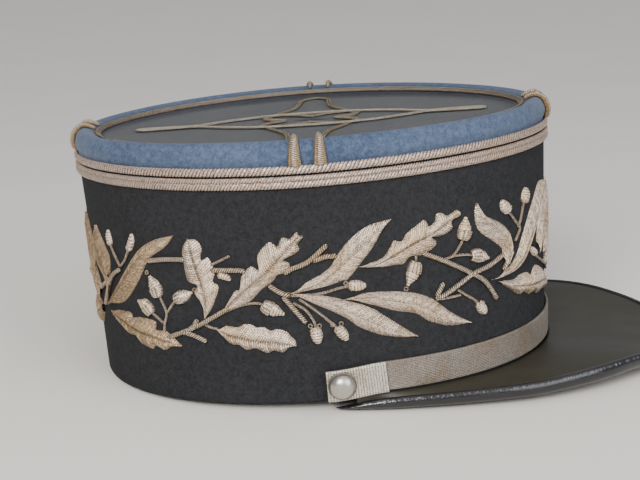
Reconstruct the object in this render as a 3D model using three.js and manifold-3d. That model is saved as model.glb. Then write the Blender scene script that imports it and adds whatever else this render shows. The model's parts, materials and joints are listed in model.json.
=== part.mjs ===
// A kepi cap: black cloth band, light blue crown with a rolled rim, silver braid, leather peak and a
// lace chin strap on two buttons. Millimetres. The cap is drawn level, on the plane of its base edge,
// and the finished group is then tipped back until it stands on the band's rear edge and the peak's tip.
//
// Directions while it is drawn: forward runs to the peak, side to the wearer's left, height upwards.

import * as THREE from "three";
import { mergeVertices } from "three/addons/utils/BufferGeometryUtils.js";
import Module from "manifold-3d";

// ---------------------------------------------------------------- driving dimensions

const GAP = 0.3; // left between sewn pieces that touch
const STATIONS = 72; // sections round a full oval

// Ovals are superellipses. egg narrows the front half and widens the rear one.
const BASE_OVAL = { halfLength: 103, halfWidth: 84.2, power: 2.2, egg: -0.028, shift: 0 };
const SEAM_OVAL = { halfLength: 106.4, halfWidth: 86.7, power: 1.86, egg: -0.04, shift: -0.56 };
const SEAM_HEIGHT = 91.9; // foot of the lowest braid
const SEAM_DIP = 0.4; // how much lower the seam runs at front and back than at the sides

const BAND_WALL = 2.5;
const BAND_TOP = 96.9;

// The crown's section, from the lower edge outside, over the roll to the disc, and back inside.
// outset is from the seam oval, dip is the height lost at front and back.
const CROWN_OUTSIDE = [
  { outset: 0.0, height: 97.2, dip: 0.4 },
  { outset: 0.0, height: 100.6, dip: 0.4 },
  { outset: 0.9, height: 103.6, dip: 0.7 },
  { outset: 0.5, height: 106.8, dip: 0.9 },
  { outset: -0.8, height: 109.1, dip: 1.1 },
  { outset: -2.9, height: 110.3, dip: 1.1 },
  { outset: -5.2, height: 109.9, dip: 1.1 },
  { outset: -7.4, height: 108.8, dip: 1.0 },
  { outset: -9.6, height: 107.2, dip: 0.8 },
  { outset: -12.4, height: 105.2, dip: 0.3 },
  { outset: -15.5, height: 104.5, dip: 0.0 },
];
const CROWN_INSIDE = [
  { outset: -15.5, height: 102.2, dip: 0.0 },
  { outset: -9.0, height: 102.6, dip: 0.2 },
  { outset: -4.6, height: 104.4, dip: 0.6 },
  { outset: -2.6, height: 102.2, dip: 0.6 },
  { outset: -2.5, height: 97.2, dip: 0.4 },
];
const DISC_TOP = 104.5;
const DISC_UNDERSIDE = 102.2;

// Braid rows round the seam: foot and top heights.
const BRAID_ROWS = [
  { name: "braid_lower", foot: 91.9, top: 94.3 },
  { name: "braid_middle", foot: 94.6, top: 96.3 },
  { name: "braid_upper", foot: 97.5, top: 100.5 },
];
const BRAID_SECTION = [
  { share: 0, proud: 0.35 },
  { share: 0.2, proud: 1.7 },
  { share: 0.8, proud: 1.7 },
  { share: 1, proud: 0.35 },
];

// The ring lies square to the roll's inner slope. Its section is in shares of width and thickness.
const DISC_RING = { outset: -9.6, height: 107.2, width: 2.0, thickness: 1.3, dip: 0.8, slope: Math.atan2(2.0, 2.5) };
const DISC_RING_SECTION = [
  { across: -0.5, up: 0 },
  { across: -0.35, up: 0.9 },
  { across: 0, up: 1 },
  { across: 0.35, up: 0.9 },
  { across: 0.5, up: 0 },
];

// A double cord starts at startHeight and ends at endOutset. Its section is in shares of the width, and
// in lift above the gap.
const RIM_LOOP = { width: 5.4, spacing: 10, startHeight: 100.55, footRise: 0.5, endOutset: -8.0, sideShift: 2.1 };
const RIM_LOOP_SECTION = [
  { across: -0.5, lift: 0 },
  { across: -0.5, lift: 1.0 },
  { across: -0.25, lift: 1.5 },
  { across: 0, lift: 1.2 },
  { across: 0.25, lift: 1.5 },
  { across: 0.5, lift: 1.0 },
  { across: 0.5, lift: 0 },
];

// The knot's cord, laid on the disc.
const KNOT_CORD = { radius: 1.1, sides: 6, spacing: 5 };
const KNOT_LONG_LOOP = [
  { forward: 80, side: 0 },
  { forward: 76, side: 1.8 },
  { forward: 64, side: 1.6 },
  { forward: 53, side: 1.2 },
  { forward: 40, side: 8.6 },
  { forward: 28, side: 13.8 },
  { forward: 15, side: 17 },
  { forward: 0, side: 17.8 },
];
const KNOT_SIDE_LOOP = [
  { forward: 0, side: 70 },
  { forward: 6.5, side: 63 },
  { forward: 7.4, side: 50 },
  { forward: 9.5, side: 36 },
  { forward: 17, side: 20 },
  { forward: 21, side: 8 },
  { forward: 16, side: 0 },
];
const KNOT_HEART = { mean: 15.5, swing: 6.5, lobes: 4, stretch: 1.3, points: 32 };

// The peak's free edge: its crease line, and how far the binding reaches below it.
const PEAK_EDGE = [
  { forward: 6, halfWidth: 83.0, crease: -3.0, depth: 1.4 },
  { forward: 12, halfWidth: 84.0, crease: -2.2, depth: 1.7 },
  { forward: 20, halfWidth: 84.8, crease: -0.5, depth: 3.5 },
  { forward: 32, halfWidth: 84.7, crease: 0.3, depth: 4.7 },
  { forward: 50, halfWidth: 83.7, crease: 0.6, depth: 5.2 },
  { forward: 70, halfWidth: 81.6, crease: 0.8, depth: 5.6 },
  { forward: 90, halfWidth: 78.0, crease: 1.0, depth: 5.9 },
  { forward: 107, halfWidth: 72.0, crease: 1.7, depth: 6.2 },
  { forward: 122, halfWidth: 64.6, crease: 2.2, depth: 6.4 },
  { forward: 136, halfWidth: 54.0, crease: 1.7, depth: 6.2 },
  { forward: 150, halfWidth: 41.0, crease: -0.8, depth: 5.9 },
  { forward: 160, halfWidth: 28.5, crease: -3.7, depth: 5.7 },
  { forward: 166.4, halfWidth: 14.5, crease: -5.8, depth: 5.7 },
  { forward: 168.5, halfWidth: 0, crease: -6.5, depth: 5.7 },
];
const PEAK_STATIONS = 56;
const PEAK_THICKNESS = 2.2;
const PEAK_ROOT_TOP = 1.6; // top of the leather where it meets the band
const PEAK_ROOT_CLEARANCE = 0.45;
const PEAK_FIRST_STATION = 0.1; // share of the edge, from its start, where the plate begins
const PEAK_EDGE_DROP = 0.7; // the plate's top edge below the crease
const BINDING_INNER = 1.6; // binding's reach inwards of the crease line

// Binding section: out from the crease line, and down as a share of the depth there.
const BINDING_SECTION = [
  { out: -1.6, down: 0.16 },
  { out: -0.6, down: 0.02 },
  { out: 0.4, down: 0.04 },
  { out: 1.3, down: 0.22 },
  { out: 1.7, down: 0.5 },
  { out: 1.3, down: 0.8 },
  { out: 0.2, down: 1.0 },
  { out: -1.1, down: 0.92 },
  { out: -1.6, down: 0.6 },
];

// The strap runs level round the front and drops a little towards each button.
const STRAP = { width: 12.8, thickness: 1.2, height: 9.0, endHeight: 7.0, start: 3, levelFrom: 28 };
const TAB = { width: 13.6, thickness: 1.0, end: 28 };
const BUTTON = { forward: 9.4, height: 7.6, radius: 6, dome: 4.6, rim: 0.9 };
const POST = { radius: 1.2, hole: 1.6, headRadius: 2.3, headThickness: 0.9 };

// ---------------------------------------------------------------- ovals and walls

const wasm = await Module();
wasm.setup();

const along = (start, end, share) => start + (end - start) * share;
const signedPower = (value, power) => Math.sign(value) * Math.abs(value) ** power;

// forward, side and height to the group's own axes: the peak points to -Y, the wearer's left is +X.
const at = (forward, side, height) => new THREE.Vector3(side, -forward, height);

// Point on an oval. The angle is 0 at the front and grows towards the wearer's left.
function ovalPoint(oval, angle, outset) {
  const lengthShare = signedPower(Math.cos(angle), 2 / oval.power);
  const widthShare = signedPower(Math.sin(angle), 2 / oval.power);
  return {
    forward: oval.shift + (oval.halfLength + outset) * lengthShare,
    side: (oval.halfWidth + outset) * widthShare * (1 + oval.egg * lengthShare),
    lengthShare,
  };
}

// Angle at which the left half of an oval reaches a given forward distance.
function angleAtForward(oval, forward) {
  const share = (forward - oval.shift) / oval.halfLength;
  return Math.acos(signedPower(share, oval.power / 2));
}

// Point on the band's outer face, or outset from it. The face is straight from base to seam, and
// upright from there, behind the braid.
function wallPoint(angle, height, outset) {
  const share = Math.min(height / SEAM_HEIGHT, 1);
  const foot = ovalPoint(BASE_OVAL, angle, outset);
  const head = ovalPoint(SEAM_OVAL, angle, outset);
  const dip = share * SEAM_DIP * head.lengthShare ** 2;
  return at(along(foot.forward, head.forward, share), along(foot.side, head.side, share), height - dip);
}

// Point of the crown, or of what is sewn to it.
function crownPoint(angle, outset, height, dip) {
  const spot = ovalPoint(SEAM_OVAL, angle, outset);
  return at(spot.forward, spot.side, height - dip * spot.lengthShare ** 2);
}

// ---------------------------------------------------------------- closed surfaces

// A body skinned over sections, each a closed polygon of the same count. A loop joins last to first;
// an open run gets a flat fan on each end. The faces are turned outwards at the end.
function skin(sections, isLoop) {
  const count = sections[0].length;
  const corners = [];
  const triangle = (a, b, c) => {
    if (a.distanceTo(b) > 1e-6 && b.distanceTo(c) > 1e-6 && c.distanceTo(a) > 1e-6) corners.push(a, b, c);
  };
  const spans = isLoop ? sections.length : sections.length - 1;
  for (let i = 0; i < spans; i++) {
    const here = sections[i];
    const next = sections[(i + 1) % sections.length];
    for (let j = 0; j < count; j++) {
      const k = (j + 1) % count;
      triangle(here[j], next[j], next[k]);
      triangle(here[j], next[k], here[k]);
    }
  }
  if (!isLoop) {
    for (const [section, turned] of [[sections[0], false], [sections.at(-1), true]]) {
      const middle = section.reduce((sum, p) => sum.add(p), new THREE.Vector3()).divideScalar(count);
      for (let j = 0; j < count; j++) {
        const k = (j + 1) % count;
        if (turned) triangle(middle, section[k], section[j]);
        else triangle(middle, section[j], section[k]);
      }
    }
  }
  const volume = corners.reduce((sum, p, i) =>
    i % 3 ? sum : sum + p.dot(new THREE.Vector3().crossVectors(corners[i + 1], corners[i + 2])), 0);
  if (volume < 0) corners.reverse();
  const geometry = new THREE.BufferGeometry().setFromPoints(corners);
  return mergeVertices(geometry, 1e-4);
}

// A skin that goes once round the cap. section(angle) gives the polygon at an angle.
function roundTheCap(section) {
  const angles = Array.from({ length: STATIONS }, (_, i) => (2 * Math.PI * i) / STATIONS);
  return skin(angles.map(section), true);
}

const solidFrom = (geometry) => {
  const bare = geometry.clone();
  bare.deleteAttribute("normal");
  bare.deleteAttribute("uv");
  const merged = mergeVertices(bare, 1e-4);
  return new wasm.Manifold(new wasm.Mesh({
    numProp: 3,
    vertProperties: new Float32Array(merged.attributes.position.array),
    triVerts: new Uint32Array(merged.index.array),
  }));
};

const geometryFrom = (solid) => {
  const mesh = solid.getMesh();
  const geometry = new THREE.BufferGeometry();
  geometry.setAttribute("position", new THREE.BufferAttribute(mesh.vertProperties, 3));
  geometry.setIndex(new THREE.BufferAttribute(mesh.triVerts, 1));
  return geometry;
};

// ---------------------------------------------------------------- materials and the group

const cloth = (color) => new THREE.MeshStandardMaterial({ color, roughness: 0.95, metalness: 0 });
const thread = (color) => new THREE.MeshStandardMaterial({ color, roughness: 0.45, metalness: 0.8 });

const BLACK_CLOTH = cloth(0x1c1d20);
const BLUE_CLOTH = cloth(0x6482aa);
const SILVER_BRAID = thread(0xb8ab98);
const TARNISHED_CORD = thread(0x9c8d74);
const SILVER_LACE = thread(0x968c7d);
const PEAK_LEATHER = new THREE.MeshStandardMaterial({ color: 0x33322c, roughness: 0.45, metalness: 0 });
const PATENT_LEATHER = new THREE.MeshStandardMaterial({ color: 0x16171a, roughness: 0.15, metalness: 0 });
const BUTTON_METAL = new THREE.MeshStandardMaterial({ color: 0xa8a498, roughness: 0.3, metalness: 1 });

const cap = new THREE.Group();

function add(name, geometry, material) {
  const mesh = new THREE.Mesh(geometry, material);
  mesh.name = name;
  cap.add(mesh);
}

// ---------------------------------------------------------------- band and crown

function bandGeometry() {
  return roundTheCap((angle) => [
    wallPoint(angle, 0, 0),
    wallPoint(angle, BAND_TOP, 0),
    wallPoint(angle, BAND_TOP, -BAND_WALL),
    wallPoint(angle, 0, -BAND_WALL),
  ]);
}

function crownGeometry() {
  const rows = [...CROWN_OUTSIDE, ...CROWN_INSIDE];
  const middle = CROWN_OUTSIDE.length;
  return roundTheCap((angle) => {
    const points = rows.map((row) => crownPoint(angle, row.outset, row.height, row.dip));
    points.splice(middle, 0, at(0, 0, DISC_TOP), at(0, 0, DISC_UNDERSIDE));
    return points;
  });
}

// ---------------------------------------------------------------- braid and cord

// Braid row on the wall: flat against the cloth, rounded outside.
function braidRowGeometry({ foot, top }) {
  return roundTheCap((angle) => [
    ...BRAID_SECTION.map(({ share, proud }) => wallPoint(angle, along(foot, top, share), GAP + proud)),
    wallPoint(angle, top, GAP),
    wallPoint(angle, foot, GAP),
  ]);
}

// Cord on the roll's inner slope, square to the slope.
function discRingGeometry() {
  const { outset, height, width, thickness, dip, slope } = DISC_RING;
  return roundTheCap((angle) =>
    DISC_RING_SECTION.map(({ across, up }) => {
      const out = across * width;
      const lift = GAP + up * thickness;
      return crownPoint(
        angle,
        outset + out * Math.cos(slope) - lift * Math.sin(slope),
        height + out * Math.sin(slope) + lift * Math.cos(slope),
        dip,
      );
    }));
}

// Double cord over the roll, from the upper braid to the ring, at one angle of the crown.
function rimLoopGeometry(angle) {
  const step = 1e-3;
  const tangent = crownPoint(angle + step, 0, 0, 0).sub(crownPoint(angle - step, 0, 0, 0)).normalize();
  const outward = new THREE.Vector3(-tangent.y, tangent.x, 0);
  if (outward.dot(crownPoint(angle, 0, 0, 0)) < 0) outward.negate();
  const rows = CROWN_OUTSIDE.filter((row) => row.height > RIM_LOOP.startHeight && row.outset > RIM_LOOP.endOutset);
  const sections = rows.map((row, i) => {
    const before = rows[Math.max(i - 1, 0)];
    const after = rows[Math.min(i + 1, rows.length - 1)];
    const run = after.outset - before.outset;
    const rise = after.height - before.height;
    const length = Math.hypot(run, rise);
    const normal = outward.clone().multiplyScalar(rise / length);
    normal.z = -run / length;
    const foot = crownPoint(angle, row.outset, row.height + (i ? 0 : RIM_LOOP.footRise), row.dip);
    return RIM_LOOP_SECTION.map(({ across, lift }) =>
      foot.clone().addScaledVector(tangent, across * RIM_LOOP.width).addScaledVector(normal, GAP + lift));
  });
  return skin(sections, false);
}

function rimLoopAngles() {
  const half = RIM_LOOP.spacing / 2;
  const width = SEAM_OVAL.halfWidth;
  const length = SEAM_OVAL.halfLength;
  const endAngle = Math.asin((half / width) ** (SEAM_OVAL.power / 2));
  const sideAngle = (shift) => {
    const share = (RIM_LOOP.sideShift + shift - SEAM_OVAL.shift) / length;
    return Math.acos(signedPower(share, SEAM_OVAL.power / 2));
  };
  return {
    front_left: endAngle,
    front_right: -endAngle,
    rear_left: Math.PI - endAngle,
    rear_right: Math.PI + endAngle,
    left_front: sideAngle(half),
    left_rear: sideAngle(-half),
    right_front: -sideAngle(half),
    right_rear: -sideAngle(-half),
  };
}

// ---------------------------------------------------------------- the knot on the disc

const mirroredLoop = (rows) => {
  const quarter = rows.map((row) => [row.forward, row.side]);
  const back = quarter.map(([f, s]) => [-f, s]).reverse();
  const half = [...quarter, ...back.slice(1)];
  const other = half.map(([f, s]) => [f, -s]).reverse();
  return [...half, ...other.slice(1, -1)];
};

const sideLoopPath = (rows) => {
  const quarter = rows.map((row) => [row.forward, row.side]);
  const lower = quarter.map(([f, s]) => [f, -s]).reverse();
  const half = [...quarter, ...lower.slice(1)];
  const other = half.map(([f, s]) => [-f, s]).reverse();
  return [...half, ...other.slice(1, -1)];
};

function cordGeometry(path) {
  const height = DISC_TOP + GAP + KNOT_CORD.radius;
  const curve = new THREE.CatmullRomCurve3(path.map(([f, s]) => at(f, s, height)), true);
  const section = new THREE.Shape(Array.from({ length: KNOT_CORD.sides }, (_, i) => {
    const angle = (2 * Math.PI * i) / KNOT_CORD.sides;
    return new THREE.Vector2(Math.cos(angle), Math.sin(angle)).multiplyScalar(KNOT_CORD.radius);
  }));
  const steps = Math.round(curve.getLength() / KNOT_CORD.spacing);
  return new THREE.ExtrudeGeometry(section, { extrudePath: curve, steps, bevelEnabled: false });
}

function knotGeometry() {
  const heart = Array.from({ length: KNOT_HEART.points }, (_, i) => {
    const angle = (2 * Math.PI * i) / KNOT_HEART.points;
    const radius = KNOT_HEART.mean - KNOT_HEART.swing * Math.cos(KNOT_HEART.lobes * angle);
    return [radius * Math.cos(angle) * KNOT_HEART.stretch, radius * Math.sin(angle)];
  });
  const cords = [mirroredLoop(KNOT_LONG_LOOP), sideLoopPath(KNOT_SIDE_LOOP), heart];
  const solids = cords.map((path) => solidFrom(cordGeometry(path)));
  return geometryFrom(solids.reduce((joined, next) => joined.add(next)));
}

// ---------------------------------------------------------------- peak and binding

// The free edge from the wearer's right to the left, with a number per column at each station.
function peakEdge(share) {
  const mirrored = [
    ...PEAK_EDGE.map((row) => ({ ...row, halfWidth: -row.halfWidth })),
    ...PEAK_EDGE.slice(0, -1).reverse(),
  ];
  const line = new THREE.CatmullRomCurve3(mirrored.map((r) => at(r.forward, r.halfWidth, r.crease)));
  const depths = new THREE.CatmullRomCurve3(mirrored.map((r) => new THREE.Vector3(r.depth, 0, 0)));
  const tangent = line.getTangent(share).setZ(0).normalize();
  const outward = new THREE.Vector3(tangent.y, -tangent.x, 0);
  return { spot: line.getPoint(share), outward, depth: depths.getPoint(share).x };
}

const peakShares = (first) =>
  Array.from({ length: PEAK_STATIONS + 1 }, (_, i) => along(first, 1 - first, i / PEAK_STATIONS));

function bindingGeometry() {
  const sections = peakShares(0).map((share) => {
    const { spot, outward, depth } = peakEdge(share);
    return BINDING_SECTION.map(({ out, down }) => {
      const point = spot.clone().addScaledVector(outward, out);
      point.z -= down * depth;
      return point;
    });
  });
  return skin(sections, false);
}

function peakGeometry() {
  const sections = peakShares(PEAK_FIRST_STATION).map((share) => {
    const { spot, outward } = peakEdge(share);
    const edge = spot.clone().addScaledVector(outward, -BINDING_INNER - GAP);
    edge.z -= PEAK_EDGE_DROP;
    const reach = angleAtForward(BASE_OVAL, edgeForwardAt(PEAK_FIRST_STATION));
    const angle = along(-reach, reach, (share - PEAK_FIRST_STATION) / (1 - 2 * PEAK_FIRST_STATION));
    const root = wallPoint(angle, 0, PEAK_ROOT_CLEARANCE);
    root.z = PEAK_ROOT_TOP;
    const lower = (point) => point.clone().setZ(point.z - PEAK_THICKNESS);
    return [root, edge, lower(edge), lower(root)];
  });
  return skin(sections, false);
}

const edgeForwardAt = (share) => -peakEdge(share).spot.y;

// ---------------------------------------------------------------- strap, tabs and buttons

// Height of the strap's centre line at a forward distance.
function strapHeight(forward) {
  const share = THREE.MathUtils.smoothstep(forward, STRAP.start, STRAP.levelFrom);
  return along(STRAP.endHeight, STRAP.height, share);
}

// A strip of lace on the wall, between two angles.
function stripGeometry(angles, width, inner, thickness) {
  const sections = angles.map((angle) => {
    const middle = strapHeight(-wallPoint(angle, STRAP.height, 0).y);
    const low = middle - width / 2;
    const high = middle + width / 2;
    return [
      wallPoint(angle, low, inner),
      wallPoint(angle, low, inner + thickness),
      wallPoint(angle, high, inner + thickness),
      wallPoint(angle, high, inner),
    ];
  });
  return skin(sections, false);
}

const spread = (from, to, count) => Array.from({ length: count + 1 }, (_, i) => along(from, to, i / count));

// A frame on the wall at a button: its axis points out of the wall.
function buttonPlacement(hand) {
  const angle = hand * angleAtForward(BASE_OVAL, BUTTON.forward);
  const centre = wallPoint(angle, BUTTON.height, 0);
  const ahead = wallPoint(angle + 1e-3, BUTTON.height, 0).sub(wallPoint(angle - 1e-3, BUTTON.height, 0));
  const up = wallPoint(angle, BUTTON.height + 1, 0).sub(centre);
  const axis = new THREE.Vector3().crossVectors(ahead, up).normalize();
  if (axis.dot(centre) < 0) axis.negate();
  return { centre, axis };
}

function placeOnWall(geometry, { centre, axis }) {
  const turn = new THREE.Quaternion().setFromUnitVectors(new THREE.Vector3(0, 1, 0), axis);
  return geometry.applyQuaternion(turn).translate(centre.x, centre.y, centre.z);
}

// Dome, post and the head that holds the post inside the band, turned as one piece.
function buttonGeometry(placement, seat) {
  const profile = [];
  const inside = -BAND_WALL - GAP;
  profile.push([0, inside - POST.headThickness]);
  profile.push([POST.headRadius, inside - POST.headThickness]);
  profile.push([POST.headRadius, inside]);
  profile.push([POST.radius, inside]);
  profile.push([POST.radius, seat]);
  profile.push([BUTTON.radius, seat]);
  profile.push([BUTTON.radius, seat + BUTTON.rim]);
  for (const angle of spread(0, Math.PI / 2, 6).slice(1)) {
    const radius = BUTTON.radius * Math.cos(angle);
    profile.push([radius, seat + BUTTON.rim + (BUTTON.dome - BUTTON.rim) * Math.sin(angle)]);
  }
  const points = profile.map(([radius, height]) => new THREE.Vector2(Math.max(radius, 0), height));
  points.at(-1).x = 0;
  return placeOnWall(new THREE.LatheGeometry(points, 24), placement);
}

// A hole for the post through a wall or a strip.
function holeSolid(placement) {
  return solidFrom(placeOnWall(new THREE.CylinderGeometry(POST.hole, POST.hole, 16, 16), placement));
}

// ---------------------------------------------------------------- assembly

const strapSeat = GAP;
const tabSeat = strapSeat + STRAP.thickness + GAP;
const buttonSeat = tabSeat + TAB.thickness + GAP;
const hands = { right: -1, left: 1 };
const placements = Object.fromEntries(Object.entries(hands).map(([k, hand]) => [k, buttonPlacement(hand)]));
const holes = Object.fromEntries(Object.entries(placements).map(([k, p]) => [k, holeSolid(p)]));

const strapEnd = angleAtForward(BASE_OVAL, STRAP.start);
const tabInner = angleAtForward(BASE_OVAL, TAB.end);
const strapGeometry = stripGeometry(spread(-strapEnd, strapEnd, 56), STRAP.width, strapSeat, STRAP.thickness);

const drilled = (geometry) =>
  geometryFrom(solidFrom(geometry).subtract(holes.right).subtract(holes.left));

add("band", drilled(bandGeometry()), BLACK_CLOTH);
add("crown", crownGeometry(), BLUE_CLOTH);
for (const row of BRAID_ROWS) add(row.name, braidRowGeometry(row), SILVER_BRAID);
for (const [place, angle] of Object.entries(rimLoopAngles())) {
  add(`rim_loop_${place}`, rimLoopGeometry(angle), SILVER_BRAID);
}
add("disc_ring", discRingGeometry(), TARNISHED_CORD);
add("crown_knot", knotGeometry(), TARNISHED_CORD);
add("peak", peakGeometry(), PEAK_LEATHER);
add("peak_binding", bindingGeometry(), PATENT_LEATHER);
add("chin_strap", drilled(strapGeometry), SILVER_LACE);
for (const [name, hand] of Object.entries(hands)) {
  const tab = stripGeometry(spread(hand * strapEnd, hand * tabInner, 8), TAB.width, tabSeat, TAB.thickness);
  add(`strap_tab_${name}`, geometryFrom(solidFrom(tab).subtract(holes[name])), SILVER_LACE);
  add(`button_${name}`, buttonGeometry(placements[name], buttonSeat), BUTTON_METAL);
}

// ---------------------------------------------------------------- resting pose

// The floor's slope under the level cap: a line from the band's rear edge that just touches the binding.
function restAngle() {
  const position = cap.getObjectByName("peak_binding").geometry.attributes.position;
  const rear = BASE_OVAL.halfLength - BASE_OVAL.shift;
  let steepest = 0;
  for (let i = 0; i < position.count; i++) {
    steepest = Math.max(steepest, Math.atan2(-position.getZ(i), rear - position.getY(i)));
  }
  return steepest;
}

cap.rotation.x = -restAngle();
const group = new THREE.Group();
group.add(cap);
group.updateMatrixWorld(true);
const bounds = new THREE.Box3().setFromObject(group, true);
const middle = bounds.getCenter(new THREE.Vector3());
cap.position.set(-middle.x, -middle.y, -bounds.min.z);

export default group;
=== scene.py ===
import json
import logging
import math
from collections.abc import Callable, Iterable
from dataclasses import dataclass
from enum import Enum
from typing import Any

import bmesh
import bpy
import numpy as np
from mathutils import Matrix, Vector


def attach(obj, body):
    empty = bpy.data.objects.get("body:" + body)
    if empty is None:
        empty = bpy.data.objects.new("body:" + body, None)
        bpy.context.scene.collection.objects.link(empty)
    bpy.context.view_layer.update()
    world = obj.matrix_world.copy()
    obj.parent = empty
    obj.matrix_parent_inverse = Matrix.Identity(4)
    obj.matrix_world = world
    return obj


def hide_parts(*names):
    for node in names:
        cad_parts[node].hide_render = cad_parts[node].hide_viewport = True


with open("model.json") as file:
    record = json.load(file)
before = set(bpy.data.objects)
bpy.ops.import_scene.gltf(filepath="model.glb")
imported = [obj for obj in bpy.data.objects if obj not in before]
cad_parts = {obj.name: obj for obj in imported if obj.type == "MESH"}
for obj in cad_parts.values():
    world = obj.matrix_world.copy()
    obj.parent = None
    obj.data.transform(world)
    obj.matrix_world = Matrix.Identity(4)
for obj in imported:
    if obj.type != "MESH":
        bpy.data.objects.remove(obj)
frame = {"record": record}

LOG = logging.getLogger("kepi")
MM = 0.001

Array = np.ndarray
Line = tuple[tuple[float, float], ...]
Colour = tuple[float, float, float]


# ---------------------------------------------------------------- small sums


def shares(count: int) -> Array:
    """Evenly spaced values from 0 to 1, count of them."""
    return np.linspace(0.0, 1.0, count)


def signed_power(value: Array, power: float) -> Array:
    """Power of the size of a value, with its sign kept."""
    return np.sign(value) * np.abs(value) ** power


def unit(vectors: Array) -> Array:
    """Vectors along the last axis, each brought to length one."""
    return vectors / np.maximum(np.linalg.norm(vectors, axis=-1, keepdims=True), 1e-9)


def running_length(points: Array) -> Array:
    """Distance along a run of points, from its first."""
    return np.concatenate([[0.0], np.cumsum(np.linalg.norm(np.diff(points, axis=0), axis=1))])


def smooth_line(points: Array, per_span: int, closed: bool = False) -> Array:
    """A Catmull-Rom curve through points.

    Args:
        points: The points the curve passes through, one a row.
        per_span: How many steps each span is cut into.
        closed: True if the last point joins the first.

    Returns:
        The finer run of points. A closed run doesn't repeat its first.
    """
    count = len(points)
    if count < 3:
        steps = shares(per_span + 1)[:, None]
        return points[0] * (1 - steps) + points[-1] * steps
    spans = count if closed else count - 1
    out = []
    for i in range(spans):
        index = [i - 1, i, i + 1, i + 2]
        if closed:
            a, b, c, d = (points[j % count] for j in index)
        else:
            b, c = points[i], points[i + 1]
            a = points[i - 1] if i > 0 else 2 * b - c
            d = points[i + 2] if i + 2 < count else 2 * c - b
        t = shares(per_span + 1)[:-1, None]
        out.append(0.5 * (2 * b + (c - a) * t + (2 * a - 5 * b + 4 * c - d) * t**2 + (3 * b - a - 3 * c + d) * t**3))
    if not closed:
        out.append(points[-1:])
    return np.concatenate(out)


def evenly(points: Array, count: int, closed: bool = False) -> Array:
    """The same run of points, spaced evenly.

    Args:
        points: A run of points, one a row.
        count: How many points to give back.
        closed: True if the last point joins the first.

    Returns:
        The evenly spaced points. A closed run doesn't repeat its first.
    """
    run = np.vstack([points, points[:1]]) if closed else points
    length = running_length(run)
    where = np.linspace(0, length[-1], count + 1)[:-1] if closed else np.linspace(0, length[-1], count)
    return np.stack([np.interp(where, length, run[:, k]) for k in range(run.shape[1])], axis=1)


# ---------------------------------------------------------------- the cap's form


@dataclass(frozen=True)
class Oval:
    """A superellipse seen from above, in millimetres. egg narrows its front half."""

    half_length: float
    half_width: float
    power: float
    egg: float
    shift: float

    def spot(self, angle: Array, outset: Array | float) -> tuple[Array, Array, Array]:
        """Point at an angle from the front.

        Args:
            angle: Angle in radians, growing towards the wearer's left.
            outset: How far outside the oval the point lies.

        Returns:
            Its forward and side distance, and its share of the half length.
        """
        share = signed_power(np.cos(angle), 2 / self.power)
        across = signed_power(np.sin(angle), 2 / self.power)
        forward = self.shift + (self.half_length + outset) * share
        return forward, (self.half_width + outset) * across * (1 + self.egg * share), share


@dataclass(frozen=True)
class CapSpace:
    """The pose of the level cap in the row frame. The level cap's own millimetres are side, rearward and height."""

    tilt: float
    origin: tuple[float, float, float]

    @classmethod
    def from_record(cls, record: dict[str, Any]) -> "CapSpace":
        """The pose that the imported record's base_edge mount gives.

        Args:
            record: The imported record.

        Returns:
            The space whose base plane carries the mount.
        """
        mount = next(m for m in record["mounts"] if m["name"] == "base_edge")
        axis = mount["axis"]
        tilt = math.atan2(-axis[1], -axis[2])
        side, rearward = 5.0, 101.65
        spot = [value / MM for value in mount["pos_m"]]
        origin = (
            spot[0] - side,
            spot[1] - rearward * math.cos(tilt),
            spot[2] + rearward * math.sin(tilt),
        )
        return cls(tilt, origin)

    def place(self, points: Array) -> Array:
        """Level points in millimetres, brought to the row frame in metres."""
        cosine, sine = math.cos(self.tilt), math.sin(self.tilt)
        rearward = points[:, 1] * cosine + points[:, 2] * sine
        height = points[:, 2] * cosine - points[:, 1] * sine
        return (np.stack([points[:, 0], rearward, height], axis=1) + np.array(self.origin)) * MM


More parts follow.
